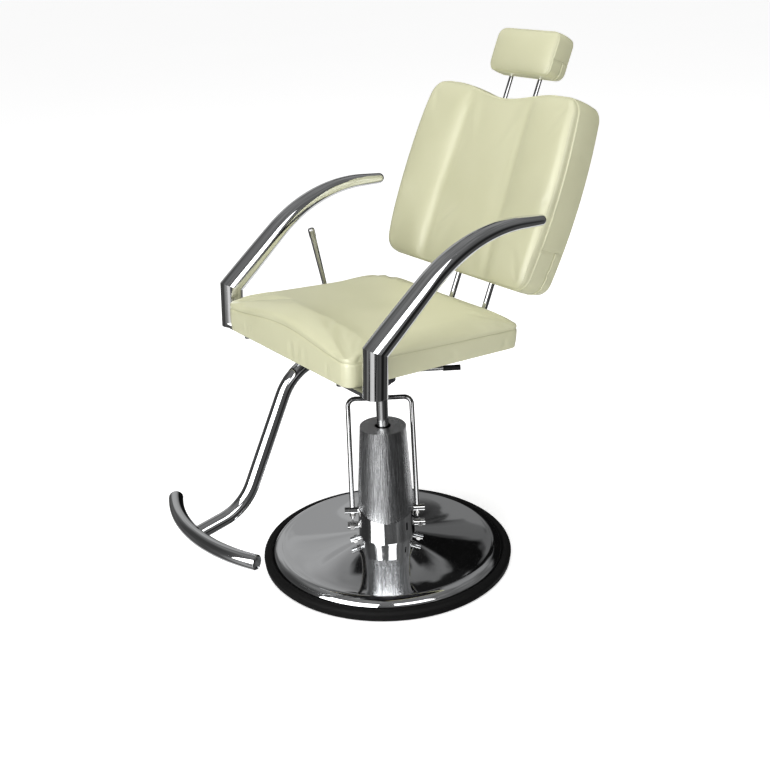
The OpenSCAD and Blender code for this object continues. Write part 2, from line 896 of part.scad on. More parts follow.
// Half width of an outline at the distance s from its end, inside a corner of radius r
function corner_half(half, r, s) = s >= r ? half : half - r + sqrt(pow(r, 2) - pow(r - s, 2));
// Rise from an edge towards the middle, with u from -1 to 1
function swell(u, power) = 1 - pow(abs(u), power);

function edge_walk(columns, rows) = concat(
    [for (i = [0 : columns]) [i, 0]],
    [for (j = [1 : rows]) [columns, j]],
    [for (i = [columns - 1 : -1 : 0]) [i, rows]],
    [for (j = [rows - 1 : -1 : 1]) [0, j]]);

// Outward direction of the outline at its step b
function outward(loop, b) =
    let (n = len(loop), p = loop[(b + n - 1) % n], q = loop[(b + 1) % n], d = q - p, l = norm([d[0], d[1]]))
    [d[1] / l, -d[0] / l];

module pad(columns, rows, face) {
    walk = edge_walk(columns, rows);
    count = len(walk);
    points = [for (j = [0 : rows], i = [0 : columns]) face(2 * gathered(i, columns) - 1, gathered(j, rows))];
    loop = [for (w = walk) points[w[1] * (columns + 1) + w[0]]];
    sides = [for (k = [1 : pad_side_rings], b = [0 : count - 1])
        let (s = k / pad_side_rings, n = outward(loop, b),
            pull = pad_pull * sin(180 * s) + pad_base_inset * s)
        [loop[b][0] - n[0] * pull, loop[b][1] - n[1] * pull, loop[b][2] * (1 - s)]];
    base = len(points);
    middle = [0, (loop[0][1] + points[len(points) - 1][1]) / 2, 0];
    function ring(k, b) =
        k == 0 ? walk[b % count][1] * (columns + 1) + walk[b % count][0] : base + (k - 1) * count + b % count;
    polyhedron(points = concat(points, sides, [middle]), faces = concat(
        [for (j = [0 : rows - 1], i = [0 : columns - 1], half = [0, 1])
            let (a = j * (columns + 1) + i, c = a + columns + 2)
            half == 0 ? [a, a + columns + 1, c] : [a, c, a + 1]],
        [for (k = [0 : pad_side_rings - 1], b = [0 : count - 1], half = [0, 1])
            half == 0 ? [ring(k, b), ring(k, b + 1), ring(k + 1, b + 1)]
                : [ring(k, b), ring(k + 1, b + 1), ring(k + 1, b)]],
        [for (b = [0 : count - 1])
            [ring(pad_side_rings, b), ring(pad_side_rings, b + 1), base + pad_side_rings * count]]));
}

// Seat: the seam arches up in the middle of the front, and a low hollow lies behind that roll
function seat_seam(x, front) =
    seat_seam_rear + (seat_seam_front - seat_seam_rear) * front
    + seat_arch * pow(cos(180 * x / seat_w), 2) * pow(front, 3);
function seat_face(u, v) =
    let (l = seat_front + seat_rear, s = v * l,
        half = corner_half(seat_w / 2, seat_corner, min(s, l - s)), x = u * half, front = 1 - v)
    [x, s - seat_front,
        seat_seam(x, front) + seat_crown * sqrt(swell(u, pad_flat) * swell(2 * v - 1, pad_flat))];

module seat_cushion() {
    color(vinyl) seat_space() difference() {
        pad(pad_columns, pad_rows, function(u, v) seat_face(u, v));
        translate([0, 0, -apart]) seat_board_shape(apart);
    }
}

// Arms

// Place along the arm's middle line and its direction, for a distance t from the mitre
function arm_angle(t) =
    t < arm_straight ? arm_climb
    : t > arm_straight + arm_arc ? -arm_fall
    : arm_climb - arm_turn * (t - arm_straight) / arm_arc;
function arm_place(t) =
    let (bend_y = arm_straight * cos(arm_climb), bend_w = arm_straight * sin(arm_climb),
        a = arm_angle(t), tail = max(0, t - arm_straight - arm_arc))
    t < arm_straight ? [t * cos(arm_climb), t * sin(arm_climb)]
    : [bend_y + arm_bend * (sin(arm_climb) - sin(a)) + tail * cos(a),
        bend_w + arm_bend * (cos(a) - cos(arm_climb)) + tail * sin(a)];
function arm_radius(t) = arm_r + (arm_end_r - arm_r) * pow(min(1, t / arm_length), arm_taper_share);

// One ring of the arm: the first lies in the mitre plane, the others square to the arm
function arm_ring(t, r, sides, slope) = tube_ring(arm_place(t), arm_angle(t), r, sides, slope);

mitre_slope = tan((90 - arm_climb) / 2);
arm_first = arm_r * mitre_slope + 2 * arm_wall;

// The rings run back along the bore from its end, across the mitre and out along the skin
module arm_tube() {
    end = arm_length - arm_end_r;
    inner_end = arm_length - arm_end_r - 2 * arm_wall;
    ring_loft(concat(
        [for (i = [arm_bore_steps : -1 : 0])
            let (t = arm_first + (inner_end - arm_first) * i / arm_bore_steps)
            arm_ring(t, arm_radius(t) - arm_wall, arm_fn, 0)],
        [arm_ring(0, arm_r - arm_wall, arm_fn, mitre_slope), arm_ring(0, arm_r, arm_fn, mitre_slope)],
        [for (i = [0 : arm_steps])
            let (t = arm_first + (end - arm_first) * i / arm_steps) arm_ring(t, arm_radius(t), arm_fn, 0)],
        [for (i = [1 : arm_end_steps])
            let (a = arm_end_turn * i / arm_end_steps)
            arm_ring(end + arm_end_r * sin(a), arm_end_r * cos(a), arm_fn, 0)]));
}

module arm_post() {
    difference() {
        translate([0, 0, -post_drop - mitre_w])
            cylinder(h = post_drop + mitre_w + arm_r, r = arm_r, $fn = round_fn);
        translate([0, 0, -post_drop - mitre_w - over])
            cylinder(h = post_drop + mitre_w + arm_r + 2 * over, r = arm_r - arm_wall, $fn = round_fn);
        rotate([mitre_turn - 90, 0, 0]) translate([-2 * arm_r, -2 * arm_r, 0])
            cube([4 * arm_r, 4 * arm_r, 3 * arm_r]);
    }
}

// Both arms are alike, so each is the same piece at its own side
module arm_side(side) {
    seat_space() translate([side * arm_x, -post_y, mitre_w]) children();
}

module arm_post_left() { color(chrome) arm_side(1) arm_post(); }
module arm_post_right() { color(chrome) arm_side(-1) arm_post(); }
module arm_tube_left() { color(chrome) arm_side(1) arm_tube(); }
module arm_tube_right() { color(chrome) arm_side(-1) arm_tube(); }

module post_caps() {
    color(chrome) for (side = [-1, 1]) seat_space()
        translate([side * arm_x, -post_y, -post_drop - cap_t]) {
            cylinder(h = cap_t, r = arm_r, $fn = round_fn);
            cylinder(h = 3 * cap_t, r = arm_r - arm_wall, $fn = round_fn);
        }
}

// Flat bars from the side rails to the posts, and the tie between the rails
module arm_brackets() {
    inner = rail_x + bar_w / 2;
    front = -post_y - bracket_w / 2 - bracket_t / 2;
    color(chrome) seat_space() difference() {
        union() {
            for (side = [-1, 1])
                translate([side > 0 ? inner : -arm_x, front, -bracket_t])
                    cube([arm_x - inner, bracket_w, bracket_t]);
            translate([bar_w / 2 - rail_x, front, -bracket_t])
                cube([2 * rail_x - bar_w, bracket_w, bracket_t]);
        }
        for (side = [-1, 1]) translate([side * arm_x, -post_y, -2 * post_drop])
            cylinder(h = 4 * post_drop, r = arm_r, $fn = round_fn);
        frame_bolt_shanks();
    }
}

// Footrest

stem_slope = tan(seat_tilt);
function stem_run_z(y) = seat_z - stem_under / cos(seat_tilt) + y * stem_slope;
stem_corners = [
    [-stem_rear, stem_run_z(stem_rear)],
    [-stem_knee_y, stem_run_z(stem_knee_y)],
    [-stem_ankle_y, stem_ankle_z],
    [-foot_y, foot_z]];
stem_bends = [0, stem_bend, stem_bend, 0];
// The bore runs on past the rear end, so that the end is open
stem_bore_corners = concat([[-stem_rear + over, stem_run_z(stem_rear - over)]],
    [for (i = [1 : len(stem_corners) - 1]) stem_corners[i]]);

module foot_arc(r) {
    translate([0, foot_curve - foot_y, foot_z]) rotate([0, 0, -90 - foot_angle])
        rotate_extrude(angle = 2 * foot_angle, $fn = round_fn)
            translate([foot_curve, 0]) circle(r = r, $fn = thin_fn);
}

module footrest_stem() {
    color(chrome) difference() {
        bent_bar(stem_corners, stem_bends, stem_r, stem_fn);
        bent_bar(stem_bore_corners, stem_bends, stem_r - stem_wall, stem_bore_fn);
        foot_arc(foot_r);
    }
}

module footrest_bar() {
    color(chrome) difference() {
        foot_arc(foot_r);
        foot_arc(foot_r - stem_wall);
    }
}

module footrest_caps() {
    color(chrome) for (side = [-1, 1])
        translate([0, foot_curve - foot_y, foot_z]) rotate([0, 0, -90 + side * foot_angle])
            translate([foot_curve, 0, 0]) rotate([-90 * side, 0, 0])
                rotate_extrude($fn = thin_fn) polygon(concat(
                    [[0, -2 * foot_cap_t], [foot_r - stem_wall, -2 * foot_cap_t], [foot_r - stem_wall, 0]],
                    [for (share = foot_cap_shares) [foot_r * share[0], foot_cap_t * share[1]]]));
}

module stem_clamp() {
    color(steel) seat_space() difference() {
        translate([-clamp_w / 2, -crossbar_mid - clamp_l / 2, -stem_under - stem_r - clamp_t])
            cube([clamp_w, clamp_l, stem_under + stem_r + clamp_t]);
        translate([0, 0, -stem_under]) bar_y(-crossbar_mid - clamp_l, -crossbar_mid + clamp_l, stem_r);
    }
}

// Hinge of the back and its gas spring

function cheek_corner(a) = [hinge_seat_y + cheek_eye_r * cos(a), hinge_seat_w + cheek_eye_r * sin(a)];
module cheek_outline() {
    polygon([[cheek_front, -bar_wall], [rail_back, -bar_wall],
        cheek_corner(cheek_eye_turns[0]), [hinge_seat_y, hinge_seat_w], cheek_corner(cheek_eye_turns[1]),
        [cheek_front, -bar_w]]);
    translate([hinge_seat_y, hinge_seat_w]) circle(r = cheek_eye_r, $fn = thin_fn);
}

module hinge_line() {
    seat_space() translate([0, hinge_seat_y, hinge_seat_w]) children();
}

module hinge_cheeks() {
    color(steel) difference() {
        seat_space() for (x = [cheek_x, -cheek_x - cheek_t]) plate_x(x, cheek_t) cheek_outline();
        hinge_line() bar_x(-rail_x, rail_x, hinge_pin_r);
    }
}

module hinge_pin() {
    reach = cheek_x + cheek_t;
    color(chrome) hinge_line() {
        bar_x(-reach, reach, hinge_pin_r);
        bar_x(reach, reach + pin_head_h, pin_head_r);
        bar_x(-reach - pin_head_h, -reach, pin_head_r);
    }
}

module back_hinge_tube() {
    reach = cheek_x - pass;
    color(steel) hinge_line() difference() {
        union() {
            bar_x(-reach, reach, hinge_tube_r);
            for (x = [rocker_gap / 2, -rocker_gap / 2 - rocker_t]) plate_x(x, rocker_t)
                rotate(rocker_turn) difference() {
                    translate([-rocker_w / 2, -rocker_len]) square([rocker_w, rocker_len]);
                    translate([-slot_half, -slot_high + slot_half])
                        square([2 * slot_half, slot_high - slot_low - 2 * slot_half]);
                    translate([0, -slot_high + slot_half]) circle(r = slot_half, $fn = thin_fn);
                    translate([0, -slot_low - slot_half]) circle(r = slot_half, $fn = thin_fn);
                }
        }
        bar_x(-reach - over, reach + over, hinge_pin_r + fit);
    }
}

module gas_hanger() {
    drop = -gas_w + gas_r + bar_wall + plate_low;
    color(steel) seat_space() difference() {
        translate([-hanger_w / 2, hanger_front, plate_low - drop]) cube([hanger_w, hanger_t, drop]);
        translate([0, 0, gas_w]) bar_y(hanger_front - over, hanger_front + hanger_t + over, gas_r);
    }
}

module valve_place() {
    translate([0, lever_y + finger_reach, 0]) children();
}

module gas_cylinder() {
    color(rubber) seat_space() difference() {
        union() {
            translate([0, 0, gas_w]) bar_y(gas_front, gas_rear, gas_r);
            valve_place() translate([-valve_block_w / 2, -valve_block_l / 2, gas_w])
                cube([valve_block_w, valve_block_l, valve_block_top - gas_w]);
        }
        translate([0, 0, gas_w]) bar_y(gas_front + valve_block_l + gas_wall, gas_rear - gas_wall, gas_bore_r);
        translate([0, 0, gas_w]) bar_y(gas_rear - gas_wall - over, gas_rear + over, gas_rod_r + fit);
        valve_place() translate([0, 0, valve_top - valve_bore_len])
            cylinder(h = valve_bore_len, r = valve_r + fit, $fn = thin_fn);
    }
}

module gas_rod() {
    color(chrome) seat_space() translate([0, 0, gas_w]) difference() {
        union() {
            bar_y(gas_piston_y, gas_pin_y, gas_rod_r);
            bar_y(gas_piston_y, gas_piston_y + gas_piston_t, gas_bore_r - fit);
            translate([0, gas_pin_y, 0]) bar_x(-gas_eye_w / 2, gas_eye_w / 2, gas_eye_r);
        }
        translate([0, gas_pin_y, 0]) bar_x(-gas_pin_len, gas_pin_len, gas_pin_r);
    }
}

module gas_pin() {
    color(chrome) seat_space() translate([0, gas_pin_y, gas_w])
        bar_x(-gas_pin_len / 2, gas_pin_len / 2, gas_pin_r);
}

// Recline lever

module lever_line() {
    seat_space() translate([0, lever_y, lever_w]) children();
}

module lever_bearings() {
    low = lever_w - bearing_drop;
    color(steel) difference() {
        seat_space() for (x = [bearing_outer_x, bearing_inner_x])
            translate([-x - bearing_t / 2, lever_y - bearing_w / 2, low])
                cube([bearing_t, bearing_w, plate_low - low]);
        lever_line() bar_x(-plate_w, plate_w, lever_shaft_r + fit);
    }
}

module lever_shaft() {
    color(steel) lever_line() bar_x(-lever_x - lever_boss_r, finger_x, lever_shaft_r);
}

module lever_arm() {
    shank = lever_len - lever_tip_len;
    color(chrome) difference() {
        lever_line() {
            bar_x(-lever_x - lever_boss_w / 2, -lever_x + lever_boss_w / 2, lever_boss_r);
            translate([-lever_x, 0, 0]) rotate([lever_lean, 0, 0]) {
                cylinder(h = shank, r1 = lever_root_r, r2 = lever_shank_r, $fn = thin_fn);
                translate([0, 0, shank]) rotate_extrude($fn = thin_fn)
                    polygon(concat([[0, 0]],
                        [for (share = lever_tip_shares) [lever_tip_r * share[0], lever_tip_len * share[1]]],
                        [[0, lever_tip_len]]));
            }
        }
        lever_line() bar_x(-lever_x - 2 * lever_boss_r, -lever_x + 2 * lever_boss_r, lever_shaft_r);
    }
}

module release_finger() {
    color(steel) difference() {
        lever_line() {
            bar_x(-finger_x, finger_x, finger_boss_r);
            translate([-finger_x / 2, 0, -finger_t / 2]) cube([finger_x, finger_reach, finger_t]);
            translate([0, finger_reach, 0]) bar_x(-finger_x / 2, finger_x / 2, finger_lobe_r);
        }
        lever_line() bar_x(-2 * finger_x, 2 * finger_x, lever_shaft_r);
    }
}

module valve_button() {
    color("firebrick") seat_space() valve_place() translate([0, 0, valve_top - valve_len])
        cylinder(h = valve_len, r = valve_r, $fn = thin_fn);
}

// Swivel lock

module lock_space() {
    translate([0, 0, lock_z]) rotate([0, 0, lock_turn]) children();
}

module lock_lever() {
    ring_out = hub_r + lock_ring_w;
    color(chrome) lock_space() difference() {
        union() {
            translate([0, 0, -lock_ring_h / 2]) cylinder(h = lock_ring_h, r = ring_out, $fn = round_fn);
            bar_x(hub_r + lock_ring_w / 2, lock_len - lock_grip_r, lock_rod_r);
        }
        translate([0, 0, -lock_ring_h]) cylinder(h = 2 * lock_ring_h, r = hub_r + fit, $fn = round_fn);
    }
}

module lock_grip() {
    color(rubber) lock_space() difference() {
        bar_x(lock_len - lock_grip_len, lock_len, lock_grip_r);
        bar_x(lock_len - lock_grip_len - over, lock_len - lock_grip_r, lock_rod_r);
    }
}

// Back

function back_half(h) = back_w / 2 - back_draw * pow((h - back_mid) / (back_h + back_rise - back_mid), 2);
function back_top(x) =
    back_h + back_rise * (1 - cos(180 * min(1, abs(x) / (back_w / 2 - back_rise_corners * back_corner)))) / 2;
// Rise of the face over the seams: a roll at each side, a sewn valley and a low middle panel
function back_rise_at(x, h, half) =
    let (v = valley_low + (valley_top - valley_low) * h / back_h, a = abs(x),
        t = (a - v) / max(1, half - v))
    a < v ? panel_h * (1 - pow(a / v, 2)) - valley_depth * pow(a / v, pad_flat)
    : (bolster_h + valley_depth) * pow(sin(180 * pow(min(1, t), bolster_skew)), bolster_flat)
        - valley_depth * (1 - t);
function back_face(u, v) =
    let (x0 = u * (back_w / 2), l = back_top(x0) - back_low, s = v * l, h = back_low + s,
        half = corner_half(back_half(h), back_corner, min(s, l - s)), x = u * half)
    [x, h, back_d + back_rise_at(x, h, half) * sqrt(swell(2 * v - 1, pad_flat))];

// Turns a cushion's face towards the sitter, with its underside at the given depth
module facing_sitter(depth) {
    back_space() translate([0, depth, 0]) rotate([90, 0, 0]) children();
}

module back_board_shape(grow) {
    board_top = back_h - back_board_inset;
    board_low = back_low + back_board_inset;
    translate([0, (board_top + board_low) / 2, 0])
        rounded_plate(back_w - 2 * (back_draw + back_board_inset) + 2 * grow, board_top - board_low + 2 * grow,
            back_board_t + grow, back_corner);
}

module back_cushion() {
    color(vinyl) difference() {
        facing_sitter(back_d) pad(pad_columns, pad_rows, function(u, v) back_face(u, v));
        facing_sitter(back_d + apart) back_board_shape(apart);
        for (side = [-1, 1]) back_space() translate([side * head_rod_x, head_rod_d, sleeve_low - over])
            cylinder(h = back_h, r = rod_channel_r, $fn = thin_fn);
    }
}

module back_bolt_places() {
    for (sx = [-1, 1], h = [strap_low, strap_high])
        back_space() translate([sx * back_bolt_x, back_d + back_panel_t + strap_t, h + strap_h / 2]) children();
}

module back_bolt_shanks() {
    back_bolt_places() bar_y(-strap_t - back_panel_t - back_board_t / 2, 0, back_bolt_r);
}

module back_bolts() {
    color(chrome) {
        back_bolt_shanks();
        back_bolt_places() bar_y(0, back_bolt_head_h, back_bolt_head_r);
    }
}

module back_board() {
    color("burlywood") difference() {
        facing_sitter(back_d) back_board_shape(0);
        back_bolt_shanks();
    }
}

module back_panel() {
    w = back_w - 2 * (back_draw + back_panel_inset);
    l = back_h - back_low - back_panel_inset;
    color(vinyl) difference() {
        facing_sitter(back_d + back_panel_t) translate([0, (back_h + back_low) / 2, 0])
            rounded_plate(w, l, back_panel_t, back_corner);
        back_bolt_shanks();
    }
}

module back_posts() {
    color(chrome) difference() {
        back_space() for (side = [-1, 1]) translate([side * back_post_x, back_post_d, -hinge_drop]) {
            cylinder(h = hinge_drop + back_post_top, r = back_post_r, $fn = thin_fn);
            translate([0, 0, hinge_drop + back_post_top]) cylinder(h = back_post_r / 2,
                r1 = back_post_r, r2 = back_post_r * 0.6, $fn = thin_fn);
        }
        hinge_line() bar_x(-cheek_x, cheek_x, hinge_tube_r);
    }
}

// Cross straps that join the posts to the back
module back_straps() {
    front = back_d + back_panel_t;
    color(steel) difference() {
        back_space() for (h = [strap_low, strap_high])
            translate([-strap_half, front, h])
                cube([2 * strap_half, back_post_d - front, strap_h]);
        back_space() for (h = [strap_low, strap_high])
            for (x = [-strap_half - over, back_post_x + back_post_r])
                translate([x, front + strap_t, h - over])
                    cube([strap_half - back_post_x - back_post_r + over, back_post_d, strap_h + 2 * over]);
        back_space() for (h = [strap_low, strap_high])
            translate([-back_post_x + back_post_r, front + strap_t, h - over])
                cube([2 * (back_post_x - back_post_r), back_post_d, strap_h + 2 * over]);
        back_space() for (side = [-1, 1]) translate([side * back_post_x, back_post_d, 0])
            cylinder(h = back_post_top, r = back_post_r, $fn = thin_fn);
        back_bolt_shanks();
    }
}

module headrest_sleeves() {
    color(steel) back_space() for (side = [-1, 1]) translate([side * head_rod_x, head_rod_d, sleeve_low])
        difference() {
            cylinder(h = sleeve_len, r = sleeve_r, $fn = thin_fn);
            translate([0, 0, -over]) cylinder(h = sleeve_len + 2 * over, r = head_rod_r + fit, $fn = thin_fn);
        }
}

// Headrest

module headrest_rods() {
    color(chrome) back_space() for (side = [-1, 1])
        translate([side * head_rod_x, head_rod_d, head_rod_low])
            cylinder(h = head_low + head_rod_in - head_rod_low, r = head_rod_r, $fn = thin_fn);
}

module headrest_board_shape(grow) {
    translate([0, head_low + head_h / 2, 0])
        rounded_plate(head_w - 2 * head_board_inset + 2 * grow, head_h - 2 * head_board_inset + 2 * grow,
            head_front + head_d - head_rod_d - head_rod_r + grow, head_corner - head_board_inset);
}

module headrest_board() {
    color("burlywood") facing_sitter(head_front + head_d) headrest_board_shape(0);
}

function head_face(u, v) =
    let (s = v * head_h, half = corner_half(head_w / 2, head_corner, min(s, head_h - s)), x = u * half)
    [x, head_low + s, head_d + head_crown * sqrt(swell(u, pad_head_flat) * swell(2 * v - 1, pad_head_flat))];

module headrest_cushion() {
    color(vinyl) difference() {
        facing_sitter(head_front + head_d) pad(pad_head_columns, pad_head_rows, function(u, v) head_face(u, v));
        facing_sitter(head_front + head_d + apart) headrest_board_shape(apart);
        for (side = [-1, 1]) back_space() translate([side * head_rod_x, head_rod_d, head_low - 2 * head_crown])
            cylinder(h = head_rod_in + 2 * head_crown + over, r = head_rod_r + apart, $fn = thin_fn);
    }
}

base_disc();
base_rim();
base_plate();
base_bolts();
pump_body();
pump_collar();
pump_cover();
rod_bush();
rod_seal();
stop_bar();
stop_bar_bolts();
pump_plunger();
pump_bail();
bail_shaft();
bail_nuts();
piston_rod();
piston_head();
thrust_ring();
swivel_hub();
mounting_plate();
frame_rails();
frame_crossbars();
seat_board();
seat_cushion();
frame_bolts();
arm_post_left();
arm_post_right();
arm_tube_left();
arm_tube_right();
post_caps();
arm_brackets();
footrest_stem();
footrest_bar();
footrest_caps();
stem_clamp();
hinge_cheeks();
hinge_pin();
gas_hanger();
gas_cylinder();
lever_bearings();
back_hinge_tube();
back_posts();
back_straps();
back_board();
back_cushion();
back_panel();
back_bolts();
headrest_sleeves();
headrest_rods();
headrest_board();
headrest_cushion();
lever_shaft();
lever_arm();
release_finger();
valve_button();
gas_rod();
gas_pin();
lock_lever();
lock_grip();
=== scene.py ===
import json
import math

import bmesh
import bpy
import numpy as np
from mathutils import Matrix, Vector


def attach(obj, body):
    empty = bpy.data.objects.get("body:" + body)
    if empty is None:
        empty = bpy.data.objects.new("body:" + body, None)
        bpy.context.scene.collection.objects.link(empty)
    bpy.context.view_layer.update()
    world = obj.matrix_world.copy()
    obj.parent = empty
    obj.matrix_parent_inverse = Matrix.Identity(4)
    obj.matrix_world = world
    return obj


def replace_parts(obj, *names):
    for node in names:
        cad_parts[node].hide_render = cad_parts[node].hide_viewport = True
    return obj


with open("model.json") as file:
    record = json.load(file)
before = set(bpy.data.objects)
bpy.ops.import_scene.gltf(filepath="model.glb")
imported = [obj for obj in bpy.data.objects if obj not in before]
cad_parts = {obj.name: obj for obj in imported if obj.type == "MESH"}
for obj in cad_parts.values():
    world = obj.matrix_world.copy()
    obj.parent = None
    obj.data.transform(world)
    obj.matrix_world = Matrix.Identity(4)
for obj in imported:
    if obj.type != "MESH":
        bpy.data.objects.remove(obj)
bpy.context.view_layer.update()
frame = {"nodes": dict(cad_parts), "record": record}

# Lengths are in metres and angles in degrees. The chair faces -Y and stands on z = 0.

# Seat and back, as the frame holds them
SEAT_Z, SEAT_TILT = 0.5681, 2.59
SEAT_W, SEAT_FRONT, SEAT_REAR = 0.495, 0.256, 0.204
SEAT_SEAM_FRONT, SEAT_SEAM_REAR = 0.060, 0.049
SEAT_ARCH, SEAT_CROWN, SEAT_CORNER = 0.025, 0.020, 0.024
# Swells and hollows of the seat's face: heights, distances behind its front edge (_S) and reaches
ROLL_H, ROLL_S, ROLL_REACH = 0.0055, 0.045, 0.028
HOLLOW_H, HOLLOW_S, HOLLOW_REACH = 0.0052, 0.125, 0.055
HOLLOW_X, HOLLOW_FADE, HOLLOW_SKEW = 0.02, 0.07, 0.10
SITTER_H, SITTER_S, SITTER_REACH, SITTER_HALF = 0.0030, 0.27, 0.11, 0.15
REAR_H, REAR_S, REAR_REACH = 0.0055, 0.41, 0.075
BACK_LEAN, BACK_Y, BACK_Z = 22.7, 0.213, 0.683
BACK_W, BACK_H, BACK_RISE = 0.524, 0.403, 0.022
BACK_DEPTH, BACK_CORNER, BACK_LOW, BACK_MID, BACK_DRAW = 0.070, 0.034, -0.004, 0.190, 0.022
# Rolls beside the valleys: their height, its shares at the valley and gained outwards, and the place and
# share of the roll's width where it falls to the edge. Then the middle panel's height.
BOLSTER_H, BOLSTER_START, BOLSTER_GAIN, FALL_START, FALL_SHARE = 0.022, 0.8, 0.25, 0.84, 0.16
PANEL_H = 0.005
# A small slanted fold in the back's panel: its middle, depth, slope, half width and half length
FOLD_X, FOLD_H, FOLD_DEPTH, FOLD_SLOPE, FOLD_W, FOLD_HALF = -0.055, 0.124, 0.0030, 0.9, 0.007, 0.026
# Valleys: distance from the middle above and below, depth, width of a flank, and how many of these widths
# further in the deepest line is
VALLEY_TOP, VALLEY_LOW, VALLEY_DEPTH, FLANK, VALLEY_SHIFT = 0.108, 0.122, 0.002, 0.020, 1.2
HEAD_W, HEAD_LOW, HEAD_H = 0.201, 0.467, 0.100
HEAD_FRONT, HEAD_DEPTH, HEAD_CORNER, HEAD_CROWN = 0.020, 0.050, 0.020, 0.015
# Powers of the crowned faces, where a higher one keeps the face flat nearer to its edge, and last the
# power that steepens the headrest's edge
FACE_POWER, HEAD_POWER_X, HEAD_POWER_Y, HEAD_ROUND = 6, 3, 2.6, 0.6

# Arms
ARM_X, ARM_R, ARM_END_R, POST_Y, MITRE_W = 0.2882, 0.026, 0.012, 0.218, 0.084
ARM_CLIMB, ARM_FALL = 42.4, 1.3
ARM_STRAIGHT, ARM_BEND, ARM_TAIL, ARM_TAPER = 0.171, 0.354, 0.063, 1.5
STRAIGHT_STEPS, BEND_STEPS, TAIL_STEPS, END_STEPS, END_TURN = 14, 48, 5, 8, 88
ARM_SIDES = 72

# Footrest. The stem ends inside the foot bar, at these shares of the bar's radius from its middle
STEM_R, STEM_UNDER, STEM_REAR = 0.016, 0.021, 0.104
KNEE_Y, ANKLE_Y, ANKLE_Z, STEM_BEND = 0.2305, 0.3796, 0.2560, 0.113
FOOT_R, FOOT_CURVE, FOOT_HALF, FOOT_Z, FOOT_Y = 0.0165, 0.389, 0.183, 0.232, 0.503
STEM_END_Y_SHARE, STEM_END_Z_SHARE = 0.6, 0.1
BEND_STEP, FOOT_STEPS, ROUND_SIDES = 0.005, 40, 64

# Base: the plate's outer line, its thickness and how far its inner line is drawn in
RING_R, RING_W, EDGE_Z = 0.300, 0.0217, 0.0192
SHOULDER_W, SHOULDER_Z, DOME_Z, COLLAR_R = 0.028, 0.040, 0.063, 0.0685
DOME_HOLLOW, DOME_BORE = 1.35, 0.060
PLATE_LOW, PLATE_T, PLATE_DRAW = 0.002, 0.004, 0.001
SHOULDER_STEPS, DOME_STEPS, DOME_SIDES = 16, 48, 240


def space(place, lean):
    """A frame at a place, leaned towards the rear by an angle."""
    return Matrix.Translation(place) @ Matrix.Rotation(math.radians(-lean), 4, "X")


SEAT = space((0, 0, SEAT_Z), SEAT_TILT)
BACK = space((0, BACK_Y, BACK_Z), BACK_LEAN)


def facing_sitter(depth):
    """The frame of a cushion on the back: y is its height and z its thickness towards the sitter."""
    return BACK @ Matrix.Translation((0, depth, 0)) @ Matrix.Rotation(math.radians(90), 4, "X")


# Shared shader effects

def effect(name, inputs, outputs):
    """A node group with named number sockets. Returns the tree, its inputs and its outputs."""
    tree = bpy.data.node_groups.new(name, "ShaderNodeTree")
    for socket, value in inputs.items():
        made = tree.interface.new_socket(socket, in_out="INPUT", socket_type="NodeSocketFloat")
        made.default_value = value
    for socket in outputs:
        tree.interface.new_socket(socket, in_out="OUTPUT", socket_type="NodeSocketFloat")
    return tree, tree.nodes.new("NodeGroupInput").outputs, tree.nodes.new("NodeGroupOutput").inputs


def feed(tree, socket, value):
    """Links another node's output to a socket, or sets the socket's plain value."""
    if isinstance(value, bpy.types.NodeSocket):
        tree.links.new(value, socket)
    else:
        socket.default_value = value


def put(tree, kind, **settings):
    """A node with settings. A socket's name has underscores for spaces, other names are properties."""
    node = tree.nodes.new(kind)
    for key, value in settings.items():
        socket = node.inputs.get(key.replace("_", " "))
        if socket is None:
            setattr(node, key, value)
        else:
            feed(tree, socket, value)
    return node


def math_node(tree, operation, *values):
    node = put(tree, "ShaderNodeMath", operation=operation)
    for socket, value in zip(node.inputs, values):
        feed(tree, socket, value)
    return node.outputs[0]


def vector_node(tree, operation, *values):
    node = put(tree, "ShaderNodeVectorMath", operation=operation)
    for socket, value in zip(node.inputs, values):
        feed(tree, socket, value)
    return node


def spread(tree, value, low, high, to_low=0.0, to_high=1.0):
    """Maps a value from one range to another and stops at its ends."""
    return put(tree, "ShaderNodeMapRange", Value=value, From_Min=low, From_Max=high,
               To_Min=to_low, To_Max=to_high).outputs["Result"]


def object_places(tree):
    return tree.nodes.new("ShaderNodeTexCoord").outputs["Object"]


def stretched(tree, places, scale):
    return put(tree, "ShaderNodeMapping", Vector=places, Scale=scale).outputs["Vector"]


def noise_value(tree, places, scale, detail=3.0, roughness=0.5):
    return put(tree, "ShaderNodeTexNoise", Vector=places, Scale=scale, Detail=detail,
               Roughness=roughness).outputs["Fac"]


def vinyl_grain():
    """Fine pebbled grain of coated cloth, with a slow change of tone."""
    tree, taken, given = effect("vinyl grain", {"Scale": 900.0}, ["Height", "Tone"])
    places = object_places(tree)
    cells = put(tree, "ShaderNodeTexVoronoi", Vector=places, Scale=taken["Scale"],
                feature="SMOOTH_F1").outputs["Distance"]
    fine = math_node(tree, "MULTIPLY", noise_value(tree, places, 1800.0, 2.0), 0.4)
    tree.links.new(math_node(tree, "ADD", cells, fine), given["Height"])
    slow = noise_value(tree, places, 9.0, 3.0)
    tree.links.new(spread(tree, slow, 0.3, 0.7), given["Tone"])
    return tree


